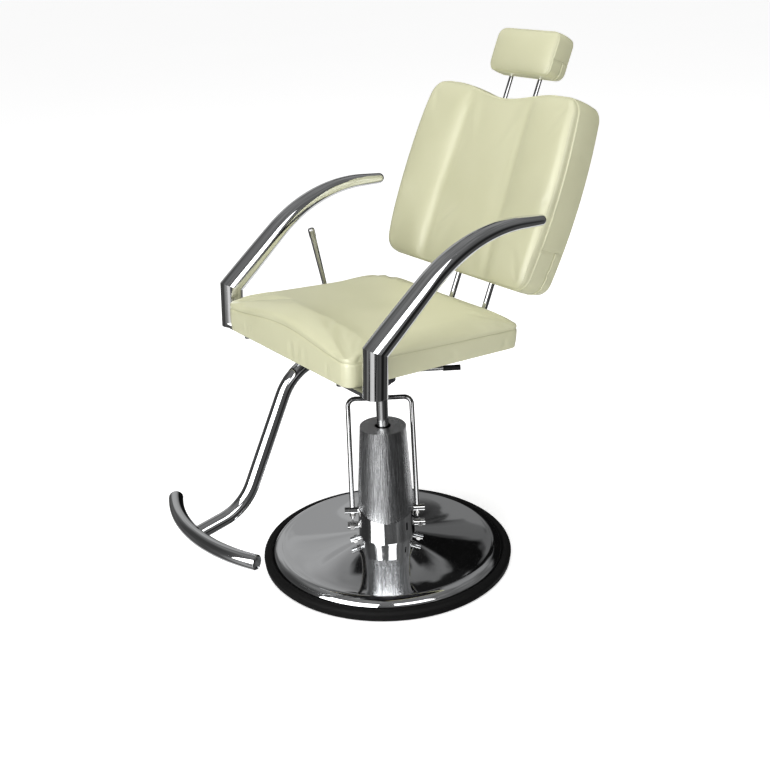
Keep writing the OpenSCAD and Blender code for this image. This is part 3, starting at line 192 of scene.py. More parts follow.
def wipe_marks():
    """Faint wipe marks and specks on polished metal."""
    inputs = {"Low": 0.03, "High": 0.08, "Scale": 14.0}
    tree, taken, given = effect("wipe marks", inputs, ["Roughness", "Height"])
    places = object_places(tree)
    marks = noise_value(tree, stretched(tree, places, (1.0, 1.0, 5.0)), taken["Scale"], 6.0, 0.65)
    specks = spread(tree, noise_value(tree, places, 420.0, 1.0), 0.68, 0.74)
    base = spread(tree, marks, 0.42, 0.75, taken["Low"], taken["High"])
    rough = math_node(tree, "ADD", base, math_node(tree, "MULTIPLY", specks, 0.12))
    tree.links.new(rough, given["Roughness"])
    tree.links.new(noise_value(tree, places, 22.0, 2.0), given["Height"])
    return tree


def worn_edges_and_seam_shade():
    """Two masks: the convex edges, broken up by noise, for wear, and the hollows of seams and folds, for
    painted shade.
    """
    tree, taken, given = effect("worn edges and seam shade", {"Reach": 0.05, "Scale": 160.0}, ["Mask", "Painted seam shade"])
    places = object_places(tree)
    edge = tree.nodes.new("ShaderNodeNewGeometry").outputs["Pointiness"]
    grain = noise_value(tree, places, taken["Scale"], 4.0)
    lifted = math_node(tree, "SUBTRACT", edge, math_node(tree, "MULTIPLY", grain, 0.05))
    high = math_node(tree, "ADD", taken["Reach"], 0.5)
    tree.links.new(spread(tree, lifted, 0.5, high), given["Mask"])
    # Painted shade: the hollows of seams and folds, where the skin is least pointy
    tree.links.new(spread(tree, edge, 0.485, 0.43), given["Painted seam shade"])
    return tree


def drawn_lines():
    """Fine upright lines left by the polishing belt."""
    tree, taken, given = effect("drawn lines", {"Fineness": 60.0}, ["Height", "Tone"])
    places = object_places(tree)
    lines = noise_value(tree, stretched(tree, places, (1.0, 1.0, 0.02)), taken["Fineness"], 5.0, 0.7)
    tree.links.new(lines, given["Height"])
    tree.links.new(spread(tree, lines, 0.35, 0.65), given["Tone"])
    return tree


GRAIN = vinyl_grain()
MARKS = wipe_marks()
EDGES = worn_edges_and_seam_shade()
LINES = drawn_lines()


def placed(tree, group, **values):
    """One of the shared effects with this material's own values."""
    node = put(tree, "ShaderNodeGroup", node_tree=group)
    for key, value in values.items():
        node.inputs[key].default_value = value
    return node


def bump(tree, height, strength, distance):
    return put(tree, "ShaderNodeBump", Height=height, Strength=strength, Distance=distance).outputs["Normal"]


def mixed(tree, factor, first, second):
    """Two colours mixed by a factor. The node's colours are its sockets 6 and 7, and its output 2."""
    node = put(tree, "ShaderNodeMix", data_type="RGBA", Factor=factor)
    for socket, value in ((node.inputs[6], first), (node.inputs[7], second)):
        feed(tree, socket, (*value, 1.0) if isinstance(value, tuple) else value)
    return node.outputs[2]


def material(name, **values):
    """A material with plain values on its shader's own sockets. Returns it, its tree and its shader."""
    made = bpy.data.materials.new(name)
    made.use_nodes = True
    tree = made.node_tree
    shader = tree.nodes["Principled BSDF"]
    for key, value in values.items():
        socket = shader.inputs[key.replace("_", " ")]
        socket.default_value = (*value, 1.0) if isinstance(value, tuple) else value
    made.diffuse_color = (*values.get("Base_Color", (0.5, 0.5, 0.5)), 1.0)
    return made, tree, shader


def metal(name, tone, low, high, scale, wave, dull, lines=0.0):
    """A metal: its tone, the range of its roughness, the scale of its marks, the waviness of its skin,
    its tone where it is worn, and the height of its drawn lines."""
    made, tree, shader = material(name, Metallic=1.0)
    marks = placed(tree, MARKS, Low=low, High=high, Scale=scale)
    wear_and_shade = placed(tree, EDGES, Reach=0.12)
    tree.links.new(marks.outputs["Roughness"], shader.inputs["Roughness"])
    height = marks.outputs["Height"]
    if lines:
        drawn = placed(tree, LINES, Fineness=320.0)
        dark, bright = (tuple(share * c for c in tone) for share in (0.62, 1.2))
        tone = mixed(tree, drawn.outputs["Tone"], dark, bright)
        height = math_node(tree, "ADD", height, math_node(tree, "MULTIPLY", drawn.outputs["Height"], lines))
    tree.links.new(mixed(tree, wear_and_shade.outputs["Mask"], tone, dull), shader.inputs["Base Color"])
    tree.links.new(bump(tree, height, wave, 0.0006), shader.inputs["Normal"])
    return made


def cream_vinyl():
    made, tree, shader = material("cream vinyl", IOR=1.5, Specular_IOR_Level=0.9, Coat_Weight=0.55,
                                  Coat_Roughness=0.36)
    grain = placed(tree, GRAIN, Scale=900.0)
    wear_and_shade = placed(tree, EDGES, Reach=0.2)
    tone = mixed(tree, grain.outputs["Tone"], (0.535, 0.531, 0.345), (0.560, 0.555, 0.368))
    worn = mixed(tree, wear_and_shade.outputs["Mask"], tone, (0.64, 0.64, 0.44))
    # Painted shade: the hollows of seams and folds are darkened
    shaded = mixed(tree, wear_and_shade.outputs["Painted seam shade"], worn, (0.30, 0.29, 0.13))
    tree.links.new(shaded, shader.inputs["Base Color"])
    tree.links.new(spread(tree, grain.outputs["Tone"], 0.0, 1.0, 0.40, 0.46), shader.inputs["Roughness"])
    tree.links.new(bump(tree, grain.outputs["Height"], 0.12, 0.0003), shader.inputs["Normal"])
    return made


def cream_thread():
    made, tree, shader = material("cream thread", Roughness=0.7)
    strands = put(tree, "ShaderNodeTexWave", Vector=object_places(tree), Scale=900.0, Distortion=2.0)
    tone = mixed(tree, strands.outputs["Fac"], (0.52, 0.52, 0.35), (0.70, 0.70, 0.54))
    tree.links.new(tone, shader.inputs["Base Color"])
    tree.links.new(bump(tree, strands.outputs["Fac"], 0.4, 0.0002), shader.inputs["Normal"])
    return made


def black_finish(name, tone, roughness_low, roughness_high, scale, depth):
    """Rubber, paint or plastic in black, with a fine skin and rubbed edges."""
    made, tree, shader = material(name, IOR=1.5, Specular_IOR_Level=0.14)
    places = object_places(tree)
    skin = noise_value(tree, places, scale, 4.0)
    wear_and_shade = placed(tree, EDGES, Reach=0.1)
    rubbed = tuple(1.8 * c for c in tone)
    tree.links.new(mixed(tree, wear_and_shade.outputs["Mask"], tone, rubbed), shader.inputs["Base Color"])
    tree.links.new(spread(tree, skin, 0.3, 0.7, roughness_low, roughness_high), shader.inputs["Roughness"])
    tree.links.new(bump(tree, skin, 0.3, depth), shader.inputs["Normal"])
    return made


def plywood():
    made, tree, shader = material("plywood", Roughness=0.62)
    places = object_places(tree)
    long_grain = stretched(tree, places, (3.0, 40.0, 3.0))
    grain = noise_value(tree, long_grain, 3.0, 6.0, 0.6)
    fibres = noise_value(tree, long_grain, 30.0, 3.0)
    tone = mixed(tree, spread(tree, grain, 0.35, 0.65), (0.42, 0.27, 0.13), (0.62, 0.45, 0.26))
    tree.links.new(tone, shader.inputs["Base Color"])
    tree.links.new(bump(tree, fibres, 0.3, 0.0003), shader.inputs["Normal"])
    return made


def red_plastic():
    made, tree, shader = material("red plastic", Roughness=0.4)
    skin = noise_value(tree, object_places(tree), 300.0, 3.0)
    tone = mixed(tree, spread(tree, skin, 0.3, 0.7), (0.42, 0.03, 0.02), (0.52, 0.05, 0.04))
    tree.links.new(tone, shader.inputs["Base Color"])
    tree.links.new(bump(tree, skin, 0.2, 0.0002), shader.inputs["Normal"])
    return made


FINISHES = {
    "mirror_chrome": metal("mirror chrome", (0.80, 0.81, 0.82), 0.03, 0.07, 12.0, 0.06, (0.60, 0.60, 0.60)),
    "satin_chrome": metal("satin chrome", (0.72, 0.73, 0.745), 0.11, 0.20, 30.0, 0.35, (0.5, 0.5, 0.5), 6.0),
    "dull_chrome": metal("dull chrome", (0.40, 0.40, 0.405), 0.06, 0.14, 20.0, 0.10, (0.3, 0.3, 0.3)),
    "rod_steel": metal("rod steel", (0.62, 0.63, 0.64), 0.08, 0.18, 40.0, 0.05, (0.45, 0.45, 0.45)),
    "zinc_steel": metal("zinc steel", (0.58, 0.585, 0.60), 0.22, 0.42, 60.0, 0.20, (0.40, 0.39, 0.37)),
    "dark_steel": black_finish("dark coated steel", (0.018, 0.018, 0.020), 0.34, 0.50, 500.0, 0.0004),
    "black_paint": black_finish("black paint", (0.012, 0.012, 0.013), 0.14, 0.24, 300.0, 0.0002),
    "black_rubber": black_finish("black rubber", (0.005, 0.005, 0.005), 0.56, 0.72, 700.0, 0.0005),
    "cream_vinyl": cream_vinyl(),
    "plywood": plywood(),
    "bronze": metal("bronze", (0.58, 0.42, 0.20), 0.20, 0.35, 50.0, 0.10, (0.30, 0.22, 0.12)),
    "red_plastic": red_plastic(),
}
THREAD = cream_thread()
# Thin rods that are duller than the tubes
DULL_NODES = ("pump_bail", "lever_arm")


def dress(obj, finish):
    """Gives an object one finish."""
    obj.data.materials.clear()
    obj.data.materials.append(FINISHES[finish])
    return obj


def dress_frame():
    """Every piece of the frame gets the finish that the record names for it."""
    for part in frame["record"]["subparts"]:
        node = frame["nodes"][part["node"]]
        dress(node, part["material_slot"])
        if part["node"] in DULL_NODES:
            node.data.materials[0] = FINISHES["dull_chrome"]


# Mesh building

# Edges with a greater angle between their faces stay sharp in a smooth skin
SHARP_ANGLE = 35


def mesh_object(name, points, faces, finish, body):
    """A smooth mesh in one finish that rides on a body."""
    data = bpy.data.meshes.new(name)
    data.from_pydata([tuple(p) for p in points], [], faces)
    data.validate()
    bm = bmesh.new()
    bm.from_mesh(data)
    bmesh.ops.recalc_face_normals(bm, faces=bm.faces)
    bm.to_mesh(data)
    bm.free()
    data.polygons.foreach_set("use_smooth", [True] * len(data.polygons))
    obj = bpy.data.objects.new(name, data)
    bpy.context.scene.collection.objects.link(obj)
    dress(obj, finish)
    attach(obj, body)
    return obj


def round_off(obj):
    """Smooth shading that keeps sharp edges."""
    bm = bmesh.new()
    bm.from_mesh(obj.data)
    for edge in bm.edges:
        if len(edge.link_faces) == 2 and edge.calc_face_angle(0.0) > math.radians(SHARP_ANGLE):
            edge.smooth = False
    bm.to_mesh(obj.data)
    bm.free()
    return obj


def loft(name, rings, finish, body, close_start=True):
    """Joins rings of equally many points to a skin. The last ring is closed, the first where asked."""
    count = len(rings[0])
    points = [p for ring in rings for p in ring]
    faces = []
    for k in range(len(rings) - 1):
        for i in range(count):
            j = (i + 1) % count
            faces.append((k * count + i, k * count + j, (k + 1) * count + j, (k + 1) * count + i))
    if close_start:
        faces.append(tuple(reversed(range(count))))
    faces.append(tuple((len(rings) - 1) * count + i for i in range(count)))
    return round_off(mesh_object(name, points, faces, finish, body))


def lathe(name, profile, sides, finish, body):
    """Turns a closed profile of radius and height round the column's axis."""
    turns = [2 * math.pi * k / sides for k in range(sides)]
    points = [(r * math.cos(a), r * math.sin(a), z) for a in turns for r, z in profile]
    count = len(profile)
    faces = []
    for k in range(sides):
        for i in range(count):
            j = (i + 1) % count
            a, b = k * count, (k + 1) % sides * count
            faces.append((a + i, b + i, b + j, a + j))
    return round_off(mesh_object(name, points, faces, finish, body))


def bent_line(corners, bends, step):
    """Points along straight runs that are joined by round bends, a bend for each inner corner."""
    corners = [Vector(c) for c in corners]
    line = [corners[0]]
    for before, corner, after, bend in zip(corners, corners[1:], corners[2:], bends):
        a, b = (before - corner).normalized(), (after - corner).normalized()
        half = a.angle(b) / 2
        middle = corner + (a + b).normalized() * bend / math.sin(half)
        start = corner + a * bend / math.tan(half)
        end = corner + b * bend / math.tan(half)
        turn = math.pi - 2 * half
        parts = max(3, round(bend * turn / step))
        spoke = start - middle
        axis = spoke.cross(end - middle).normalized()
        line += [middle + Matrix.Rotation(turn * k / parts, 3, axis) @ spoke for k in range(parts + 1)]
    return line + [corners[-1]]


def tube_rings(line, radii, sides, up, first_slope=0.0):
    """Rings along a line, square to it. The first ring can be leaned to lie in a mitre."""
    rings = []
    for k, place in enumerate(line):
        ahead = line[min(k + 1, len(line) - 1)] - line[max(k - 1, 0)]
        if k == 0:
            ahead = line[1] - line[0]
        ahead = ahead.normalized()
        side = ahead.cross(up).normalized()
        over = side.cross(ahead)
        slope = first_slope if k == 0 else 0.0
        ring = []
        for i in range(sides):
            a = 2 * math.pi * i / sides
            n = radii[k] * math.sin(a)
            ring.append(place + side * radii[k] * math.cos(a) + over * n - ahead * n * slope)
        rings.append(ring)
    return rings


# Base

def dome_profile():
    """The plate's upper line from its edge inwards: a round shoulder, then the hollow dome."""
    plate_r = RING_R - RING_W
    crease_r = plate_r - SHOULDER_W
    turns = [math.pi / 2 * k / SHOULDER_STEPS for k in range(SHOULDER_STEPS + 1)]
    shares = [k / DOME_STEPS for k in range(1, DOME_STEPS + 1)]
    shoulder = [(crease_r + SHOULDER_W * math.cos(a), EDGE_Z + (SHOULDER_Z - EDGE_Z) * math.sin(a))
                for a in turns]
    dome = [(crease_r - s * (crease_r - COLLAR_R), SHOULDER_Z + s ** DOME_HOLLOW * (DOME_Z - SHOULDER_Z))
            for s in shares]
    return [(plate_r, PLATE_LOW)] + shoulder + dome + [(DOME_BORE, DOME_Z)]


def base_plate_skin():
    outer = dome_profile()
    inner = [(r - PLATE_DRAW, z - PLATE_T) for r, z in reversed(outer[1:])]
    lip = (outer[0][0] - PLATE_T, PLATE_LOW)
    skin = lathe("domed_base_plate", outer + inner + [lip], DOME_SIDES, "mirror_chrome", "base")
    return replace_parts(skin, "base_disc")


# Arms

def arm_line():
    """The arm's middle line from its mitre, in the seat's frame."""
    climb, fall = math.radians(ARM_CLIMB), math.radians(ARM_FALL)
    turn = climb + fall
    walked = [ARM_STRAIGHT * k / STRAIGHT_STEPS for k in range(STRAIGHT_STEPS)]
    points = [(t * math.cos(climb), t * math.sin(climb)) for t in walked]
    y, z = ARM_STRAIGHT * math.cos(climb), ARM_STRAIGHT * math.sin(climb)
    for k in range(BEND_STEPS + 1):
        a = climb - turn * k / BEND_STEPS
        points.append((y + ARM_BEND * (math.sin(climb) - math.sin(a)),
                       z + ARM_BEND * (math.cos(a) - math.cos(climb))))
    y, z = points[-1]
    tail = ARM_TAIL - ARM_END_R
    for k in range(1, TAIL_STEPS + 1):
        t = tail * k / TAIL_STEPS
        points.append((y + t * math.cos(fall), z - t * math.sin(fall)))
    return points


def arm_tube(side, name, node):
    """A tapered tube that starts in the mitre over its post and ends in a round tip."""
    total = ARM_STRAIGHT + ARM_BEND * math.radians(ARM_CLIMB + ARM_FALL) + ARM_TAIL
    line = [SEAT @ Vector((side * ARM_X, y - POST_Y, z + MITRE_W)) for y, z in arm_line()]
    walked, radii = 0.0, []
    for k, place in enumerate(line):
        walked += (place - line[k - 1]).length if k else 0.0
        radii.append(ARM_R + (ARM_END_R - ARM_R) * min(1.0, walked / total) ** ARM_TAPER)
    ahead = (line[-1] - line[-2]).normalized()
    end, end_r = line[-1], radii[-1]
    for k in range(1, END_STEPS + 1):
        a = math.radians(END_TURN * k / END_STEPS)
        line.append(end + ahead * end_r * math.sin(a))
        radii.append(end_r * math.cos(a))
    slope = math.tan(math.radians((90 - ARM_CLIMB) / 2))
    rings = tube_rings(line, radii, ARM_SIDES, Vector((0, 0, 1)), slope)
    tube = loft(name, rings, "mirror_chrome", "seat")
    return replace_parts(tube, node)


# Footrest

def stem_line():
    """The stem runs under the seat, down from its knee to its ankle, and on to the foot bar."""
    tilt = math.radians(SEAT_TILT)

    def run(y):
        return SEAT_Z - STEM_UNDER / math.cos(tilt) + y * math.tan(tilt)

    corners = [(0, -STEM_REAR, run(STEM_REAR)), (0, -KNEE_Y, run(KNEE_Y)), (0, -ANKLE_Y, ANKLE_Z),
               (0, -FOOT_Y + FOOT_R * STEM_END_Y_SHARE, FOOT_Z + FOOT_R * STEM_END_Z_SHARE)]
    return bent_line(corners, [STEM_BEND, STEM_BEND], BEND_STEP)


def stem_tube():
    line = stem_line()
    rings = tube_rings(line, [STEM_R] * len(line), ROUND_SIDES, Vector((1, 0, 0)))
    stem = loft("footrest_stem_tube", rings, "mirror_chrome", "seat", close_start=False)
    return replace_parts(stem, "footrest_stem")


def foot_tube():
    reach = math.asin(FOOT_HALF / FOOT_CURVE)
    turns = [reach * (k / FOOT_STEPS - 1) for k in range(2 * FOOT_STEPS + 1)]
    line = [Vector((FOOT_CURVE * math.sin(a), FOOT_CURVE - FOOT_Y - FOOT_CURVE * math.cos(a), FOOT_Z))
            for a in turns]
    rings = tube_rings(line, [FOOT_R] * len(line), ROUND_SIDES, Vector((0, 0, 1)))
    bar = loft("footrest_bar_tube", rings, "mirror_chrome", "seat")
    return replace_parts(bar, "footrest_bar")


# Cushions. A cushion has a face of columns and rows, a side wall in rings and a flat underside.

# How much closer together a face's rows and columns are at its edges: 0 is even, 1 is a half circle's
GATHER = 0.55
# Depths of the wall's rings, as shares of the wall, closer together at both seams
WALL_STEPS = [0.02, 0.05, 0.1, 0.15, 0.2, 0.26, 0.33, 0.42, 0.5,
              0.58, 0.67, 0.75, 0.83, 0.9, 0.95, 0.98, 1.0]
# Pull on the walls, and how much smaller the underside is than the face
WALL_PULL, SEAT_WALL_PULL, UNDER_INSET = -0.0025, -0.0015, 0.0015
# The cover as cloth: its stiffness along the weave and against bending, its mass and its damping in
# air, then the steps of the reckoning and the frames that it swells for
CLOTH_TENSION, CLOTH_BENDING, CLOTH_MASS, CLOTH_DAMPING = 15.0, 2.5, 0.3, 4.0
CLOTH_QUALITY, CLOTH_FRAMES = 6, 20

# Sewing: stitches, seams, the ring of the walls that carries each, and the welt round the lower corners
STITCH_PITCH, STITCH_LENGTH, STITCH_R, STITCH_RING = 0.0046, 0.0033, 0.0006, 2
# Share of a stitch's radius by which its middle stands off the skin
STITCH_LIFT = 0.7
SEAT_SEAM_RING, SEAM_CREASE = 4, 0.9
CROSS_DEPTH, CROSS_STITCH, BACK_CROSS_H, HEAD_CROSS_H = 0.0020, 0.0028, 0.096, 0.042
WELT_R, WELT_SIDES, WELT_RING, WELT_DEPTH, WELT_LIFT, WELT_CREASE = 0.0018, 10, 11, 0.0024, 0.0014, 0.8
# A direction that no part of a welt runs along
WELT_UP = Vector((0.31, 0.2, 0.93))
# Puckers: their reach up the wall, pull, the power that moves the pull up, reach in steps and fading
PUCKER_REACH, PUCKER_PULL, PUCKER_RISE, PUCKER_STEPS, PUCKER_FADE = 0.55, 0.0016, 0.7, 4, 2.5

# A black sheet under the seat's board: painted shade for the seat's dark underside
SHADE_SHEET_HALF, SHADE_SHEET_FRONT, SHADE_SHEET_REAR, SHADE_SHEET_CORNER = 0.235, -0.252, 0.200, 0.02
SHADE_SHEET_LOW, SHADE_SHEET_T = -0.0010, 0.0004


def gathered(count):
    """Places from 0 to 1, closer together at both ends."""
    even = np.linspace(0, 1, count + 1)
    return GATHER * (1 - np.cos(np.pi * even)) / 2 + (1 - GATHER) * even


def corner_half(half, r, s):
    """Half width of an outline at the distance s from its end, inside a corner of radius r."""
    inside = np.sqrt(np.maximum(r ** 2 - np.maximum(r - s, 0) ** 2, 0))
    return np.where(s >= r, half, half - r + inside)


def swell(u, power):
    return 1 - np.abs(u) ** power


class Pad:
    """The grid of a cushion: points, quads, and the numbers of the points of its face and its walls.

    The walk goes round the face's edge. Each ring of the walls follows it, at a share of the depth.
    The pull draws the walls inwards, or outwards where it is below zero."""

    def __init__(self, face, columns, rows, pull):
        u, v = np.meshgrid(2 * gathered(columns) - 1, gathered(rows))
        x, y, z = face(u, v)
        self.columns, self.rows, self.wall_shares = columns, rows, [0.0] + WALL_STEPS
        self.face = np.arange((rows + 1) * (columns + 1)).reshape(rows + 1, columns + 1)
        top = np.stack([x, y, z], -1)
        middle = np.array([0, (y.min() + y.max()) / 2, 0])
        half = np.array([x.max(), (y.max() - y.min()) / 2, 1])
        under = (top - middle) * (1 - UNDER_INSET / half) + middle
        under[..., 2] = 0
        walk = ([(0, i) for i in range(columns)] + [(j, columns) for j in range(rows)]
                + [(rows, i) for i in range(columns, 0, -1)] + [(j, 0) for j in range(rows, 0, -1)])
        rows_of, columns_of = np.array(walk).T
        edge, low = top[rows_of, columns_of], under[rows_of, columns_of]
        ahead = np.roll(edge, -1, 0) - np.roll(edge, 1, 0)
        out = np.stack([ahead[:, 1], -ahead[:, 0], 0 * ahead[:, 0]], -1)
        out /= np.linalg.norm(out, axis=1)[:, None]
        walls = [edge + (low - edge) * s - out * pull * math.sin(math.pi * s) for s in WALL_STEPS]
        count = len(walk)
        first = self.face.size
        self.walls = np.vstack([self.face[rows_of, columns_of]]
                               + [first + k * count + np.arange(count) for k in range(len(walls))])
        first += len(walls) * count
        inner = np.arange((rows - 1) * (columns - 1)).reshape(rows - 1, columns - 1) + first
        self.under = np.zeros_like(self.face)
        self.under[rows_of, columns_of] = self.walls[-1]
        self.under[1:-1, 1:-1] = inner
        self.points = np.vstack([top.reshape(-1, 3)] + walls + [under[1:-1, 1:-1].reshape(-1, 3)])
        self.outward = out
        self.inner = self.face[np.clip(rows_of, 2, rows - 2), np.clip(columns_of, 2, columns - 2)]
        self.quads = self.grid_quads(self.face, False) + self.grid_quads(self.under, True)
        for k in range(len(self.walls) - 1):
            a, b = self.walls[k], self.walls[k + 1]
            a2, b2 = np.roll(a, -1), np.roll(b, -1)
            self.quads += np.stack([a, b, b2, a2], -1).tolist()

    def side_step(self, side, row):
        """Step of the walk at a row of one side: 1 for the sitter's left, -1 for the right."""
        return self.columns + row if side > 0 else 2 * self.columns + 2 * self.rows - row

    def row_at(self, height):
        """Row of the face whose side end is nearest to a height."""
        return int(np.argmin(np.abs(self.points[self.face[:, self.columns], 1] - height)))

    @staticmethod
    def grid_quads(grid, flip):
        a, b, c, d = grid[:-1, :-1], grid[:-1, 1:], grid[1:, 1:], grid[1:, :-1]
        order = [a, d, c, b] if flip else [a, b, c, d]
        return np.stack(order, -1).reshape(-1, 4).tolist()


def points_of(data):
    flat = np.empty(len(data.vertices) * 3, np.float32)
    data.vertices.foreach_get("co", flat)
    return flat.reshape(-1, 3).astype(float)


def set_points(data, points):
    data.vertices.foreach_set("co", points.astype(np.float32).ravel())
    data.update()


def normals_of(data):
    return np.array([v.normal for v in data.vertices])


def inflate(obj, held, pressure, cap):
    """Swells a cushion's skin as cloth under pressure.

    Its seams are held, and no other point moves further than the cap."""
    start = points_of(obj.data)
    group = obj.vertex_groups.new(name="held")
    group.add([int(i) for i in held], 1.0, "REPLACE")
    cloth = obj.modifiers.new("swelling", "CLOTH")
    settings = cloth.settings
    settings.quality = CLOTH_QUALITY
    settings.mass = CLOTH_MASS
    settings.tension_stiffness = CLOTH_TENSION
    settings.compression_stiffness = CLOTH_TENSION
    settings.shear_stiffness = CLOTH_TENSION / 2
    settings.bending_stiffness = CLOTH_BENDING
    settings.air_damping = CLOTH_DAMPING
    settings.use_pressure = True
    settings.uniform_pressure_force = pressure
    settings.vertex_group_mass = group.name
    settings.effector_weights.gravity = 0.0
    cloth.collision_settings.use_collision = False
    cloth.collision_settings.use_self_collision = False
    scene = bpy.context.scene
    scene.frame_start, scene.frame_end = 1, CLOTH_FRAMES
    for number in range(1, CLOTH_FRAMES + 1):
        scene.frame_set(number)
    evaluated = obj.evaluated_get(bpy.context.evaluated_depsgraph_get())
    swollen = points_of(evaluated.to_mesh())
    evaluated.to_mesh_clear()
    obj.modifiers.remove(cloth)
    obj.vertex_groups.remove(group)
    scene.frame_set(1)
    move = swollen - start
    length = np.linalg.norm(move, axis=1)[:, None]
    move *= np.minimum(1.0, cap / np.maximum(length, 1e-9))
    set_points(obj.data, start + move)


def soften(obj):
    smooth = obj.modifiers.new("soft skin", "SUBSURF")
    smooth.levels = smooth.render_levels = 1


def crease_loop(obj, numbers, strength):
    """Sharpens the edges between neighbours of a run of points."""
    pairs = {frozenset((int(a), int(b))) for a, b in zip(numbers, numbers[1:])}
    bm = bmesh.new()
    bm.from_mesh(obj.data)
    layer = bm.edges.layers.float.get("crease_edge") or bm.edges.layers.float.new("crease_edge")
    for edge in bm.edges:
        if frozenset(v.index for v in edge.verts) in pairs:
            edge[layer] = strength
    bm.to_mesh(obj.data)
    bm.free()


def sink(obj, numbers, depth):
    """Presses a run of points into the skin."""
    points, normals = points_of(obj.data), normals_of(obj.data)
    numbers = np.unique(np.asarray(numbers).astype(int))
    points[numbers] -= normals[numbers] * depth
    set_points(obj.data, points)


def seat_seam(x, front):
    return (SEAT_SEAM_REAR + (SEAT_SEAM_FRONT - SEAT_SEAM_REAR) * front
            + SEAT_ARCH * np.cos(np.pi * x / SEAT_W) ** 2 * front ** 3)


def seat_face(u, v):
    """A crowned face: a roll along its front, a hollow behind that, the sitter's hollow, a rear swell."""
    length = SEAT_FRONT + SEAT_REAR
    s = v * length
    x = u * corner_half(SEAT_W / 2, SEAT_CORNER, np.minimum(s, length - s))
    edge = np.maximum(swell(u, FACE_POWER) * swell(2 * v - 1, FACE_POWER), 0)
    roll = ROLL_H * np.exp(-((s - ROLL_S) / ROLL_REACH) ** 2)
    near = 0.5 + 0.5 * np.tanh((x - HOLLOW_X) / HOLLOW_FADE)
    hollow = HOLLOW_H * near * np.exp(-((s - HOLLOW_S + HOLLOW_SKEW * np.abs(x)) / HOLLOW_REACH) ** 2)
    sitter = SITTER_H * np.exp(-(x / SITTER_HALF) ** 2 - ((s - SITTER_S) / SITTER_REACH) ** 2)
    rear = REAR_H * np.exp(-((s - REAR_S) / REAR_REACH) ** 2)
    lift = SEAT_CROWN * np.sqrt(edge) + (roll + rear - hollow - sitter) * np.minimum(1, 4 * edge)
    return x, s - SEAT_FRONT, seat_seam(x, 1 - v) + lift


def back_half(h):
    return BACK_W / 2 - BACK_DRAW * ((h - BACK_MID) / (BACK_H + BACK_RISE - BACK_MID)) ** 2


def back_top(x):
    share = np.minimum(1, np.abs(x) / (BACK_W / 2 - 1.5 * BACK_CORNER))
    return BACK_H + BACK_RISE * (1 - np.cos(np.pi * share)) / 2


def valley_at(h):
    """Distance of the sewn valleys from the middle at a height."""
    return VALLEY_LOW + (VALLEY_TOP - VALLEY_LOW) * h / BACK_H


def back_rise_at(x, h, half):
    """Height of the back's face: a low middle panel, and beyond each valley a roll over the edge."""
    valley = valley_at(h)
    a = np.abs(x)
    out = np.clip((a - valley) / np.maximum(0.001, half - valley), 0, 1)
    climb = 0.5 + 0.5 * np.tanh((a - valley) / FLANK)
    fall = np.sqrt(1 - np.clip((out - FALL_START) / FALL_SHARE, 0, 1) ** 2)
    dip = VALLEY_DEPTH * np.exp(-((a - valley) / FLANK + VALLEY_SHIFT) ** 2)
    panel = PANEL_H * (1 - np.clip(a / valley, 0, 1) ** 2) - dip
    roll = (BOLSTER_H * BOLSTER_START + BOLSTER_H * BOLSTER_GAIN * out) * fall
    return panel * (1 - climb) + roll * climb


def back_face(u, v):
    x0 = u * BACK_W / 2
    length = back_top(x0) - BACK_LOW
    s = v * length
    h = BACK_LOW + s
    half = corner_half(back_half(h), BACK_CORNER, np.minimum(s, length - s))
    x = u * half
    rise = back_rise_at(x, h, half) * np.sqrt(np.maximum(swell(2 * v - 1, FACE_POWER), 0))
    slant = h - FOLD_H - FOLD_SLOPE * (x - FOLD_X)
    fold = FOLD_DEPTH * np.exp(-(slant / FOLD_W) ** 2 - ((x - FOLD_X) / FOLD_HALF) ** 2)
    return x, h, BACK_DEPTH + rise - fold


def head_face(u, v):
    s = v * HEAD_H
    x = u * corner_half(HEAD_W / 2, HEAD_CORNER, np.minimum(s, HEAD_H - s))
    crown = np.maximum(swell(u, HEAD_POWER_X) * swell(2 * v - 1, HEAD_POWER_Y), 0)
    return x, HEAD_LOW + s, HEAD_DEPTH + HEAD_CROWN * crown ** HEAD_ROUND


def closed(numbers):
    """A run of point numbers that ends where it starts."""
    return np.append(numbers, numbers[0])


def stitches(name, line, outs, body):
    """A row of separate stitches along a line on the skin, each a small spindle that lies on it."""
    steps = np.linalg.norm(np.diff(line, axis=0), axis=1)
    walked = np.concatenate([[0], np.cumsum(steps)])

    def at(d, table):
        return np.stack([np.interp(d, walked, table[:, k]) for k in range(3)], -1)

    points, faces = [], []
    for d in np.arange(STITCH_PITCH, walked[-1] - STITCH_PITCH, STITCH_PITCH):
        a, b = at(d - STITCH_LENGTH / 2, line), at(d + STITCH_LENGTH / 2, line)
        out = at(d, outs)
        out /= np.linalg.norm(out)
        side = np.cross(b - a, out)
        side /= np.linalg.norm(side)
        middle = (a + b) / 2 + out * STITCH_R * STITCH_LIFT
        first = len(points)
        points += [a, b] + [middle + side * STITCH_R * c + out * STITCH_R * e
                            for c, e in ((1, 0), (0, 1), (-1, 0), (0, -1))]
        for k in range(4):
            m, n = first + 2 + k, first + 2 + (k + 1) % 4
            faces += [(first, m, n), (first + 1, n, m)]
    obj = mesh_object(name, points, faces, "cream_vinyl", body)
    obj.data.materials[0] = THREAD
    return obj


def seam_rows(name, obj, pad, body):
    """Rows of stitches on both sides of the seam round the face: one on the wall and one on the face."""
    points, normals = points_of(obj.data), normals_of(obj.data)
    for row, numbers in (("wall", pad.walls[STITCH_RING]), ("face", pad.inner)):
        stitches(f"{name}_{row}", points[closed(numbers)], normals[closed(numbers)], body)


def piping(name, line, body):
    """A thin sewn cord along a line of points."""
    line = [Vector(p) for p in line]
    rings = tube_rings(line, [WELT_R] * len(line), WELT_SIDES, WELT_UP)
    return loft(name, rings, "cream_vinyl", body)


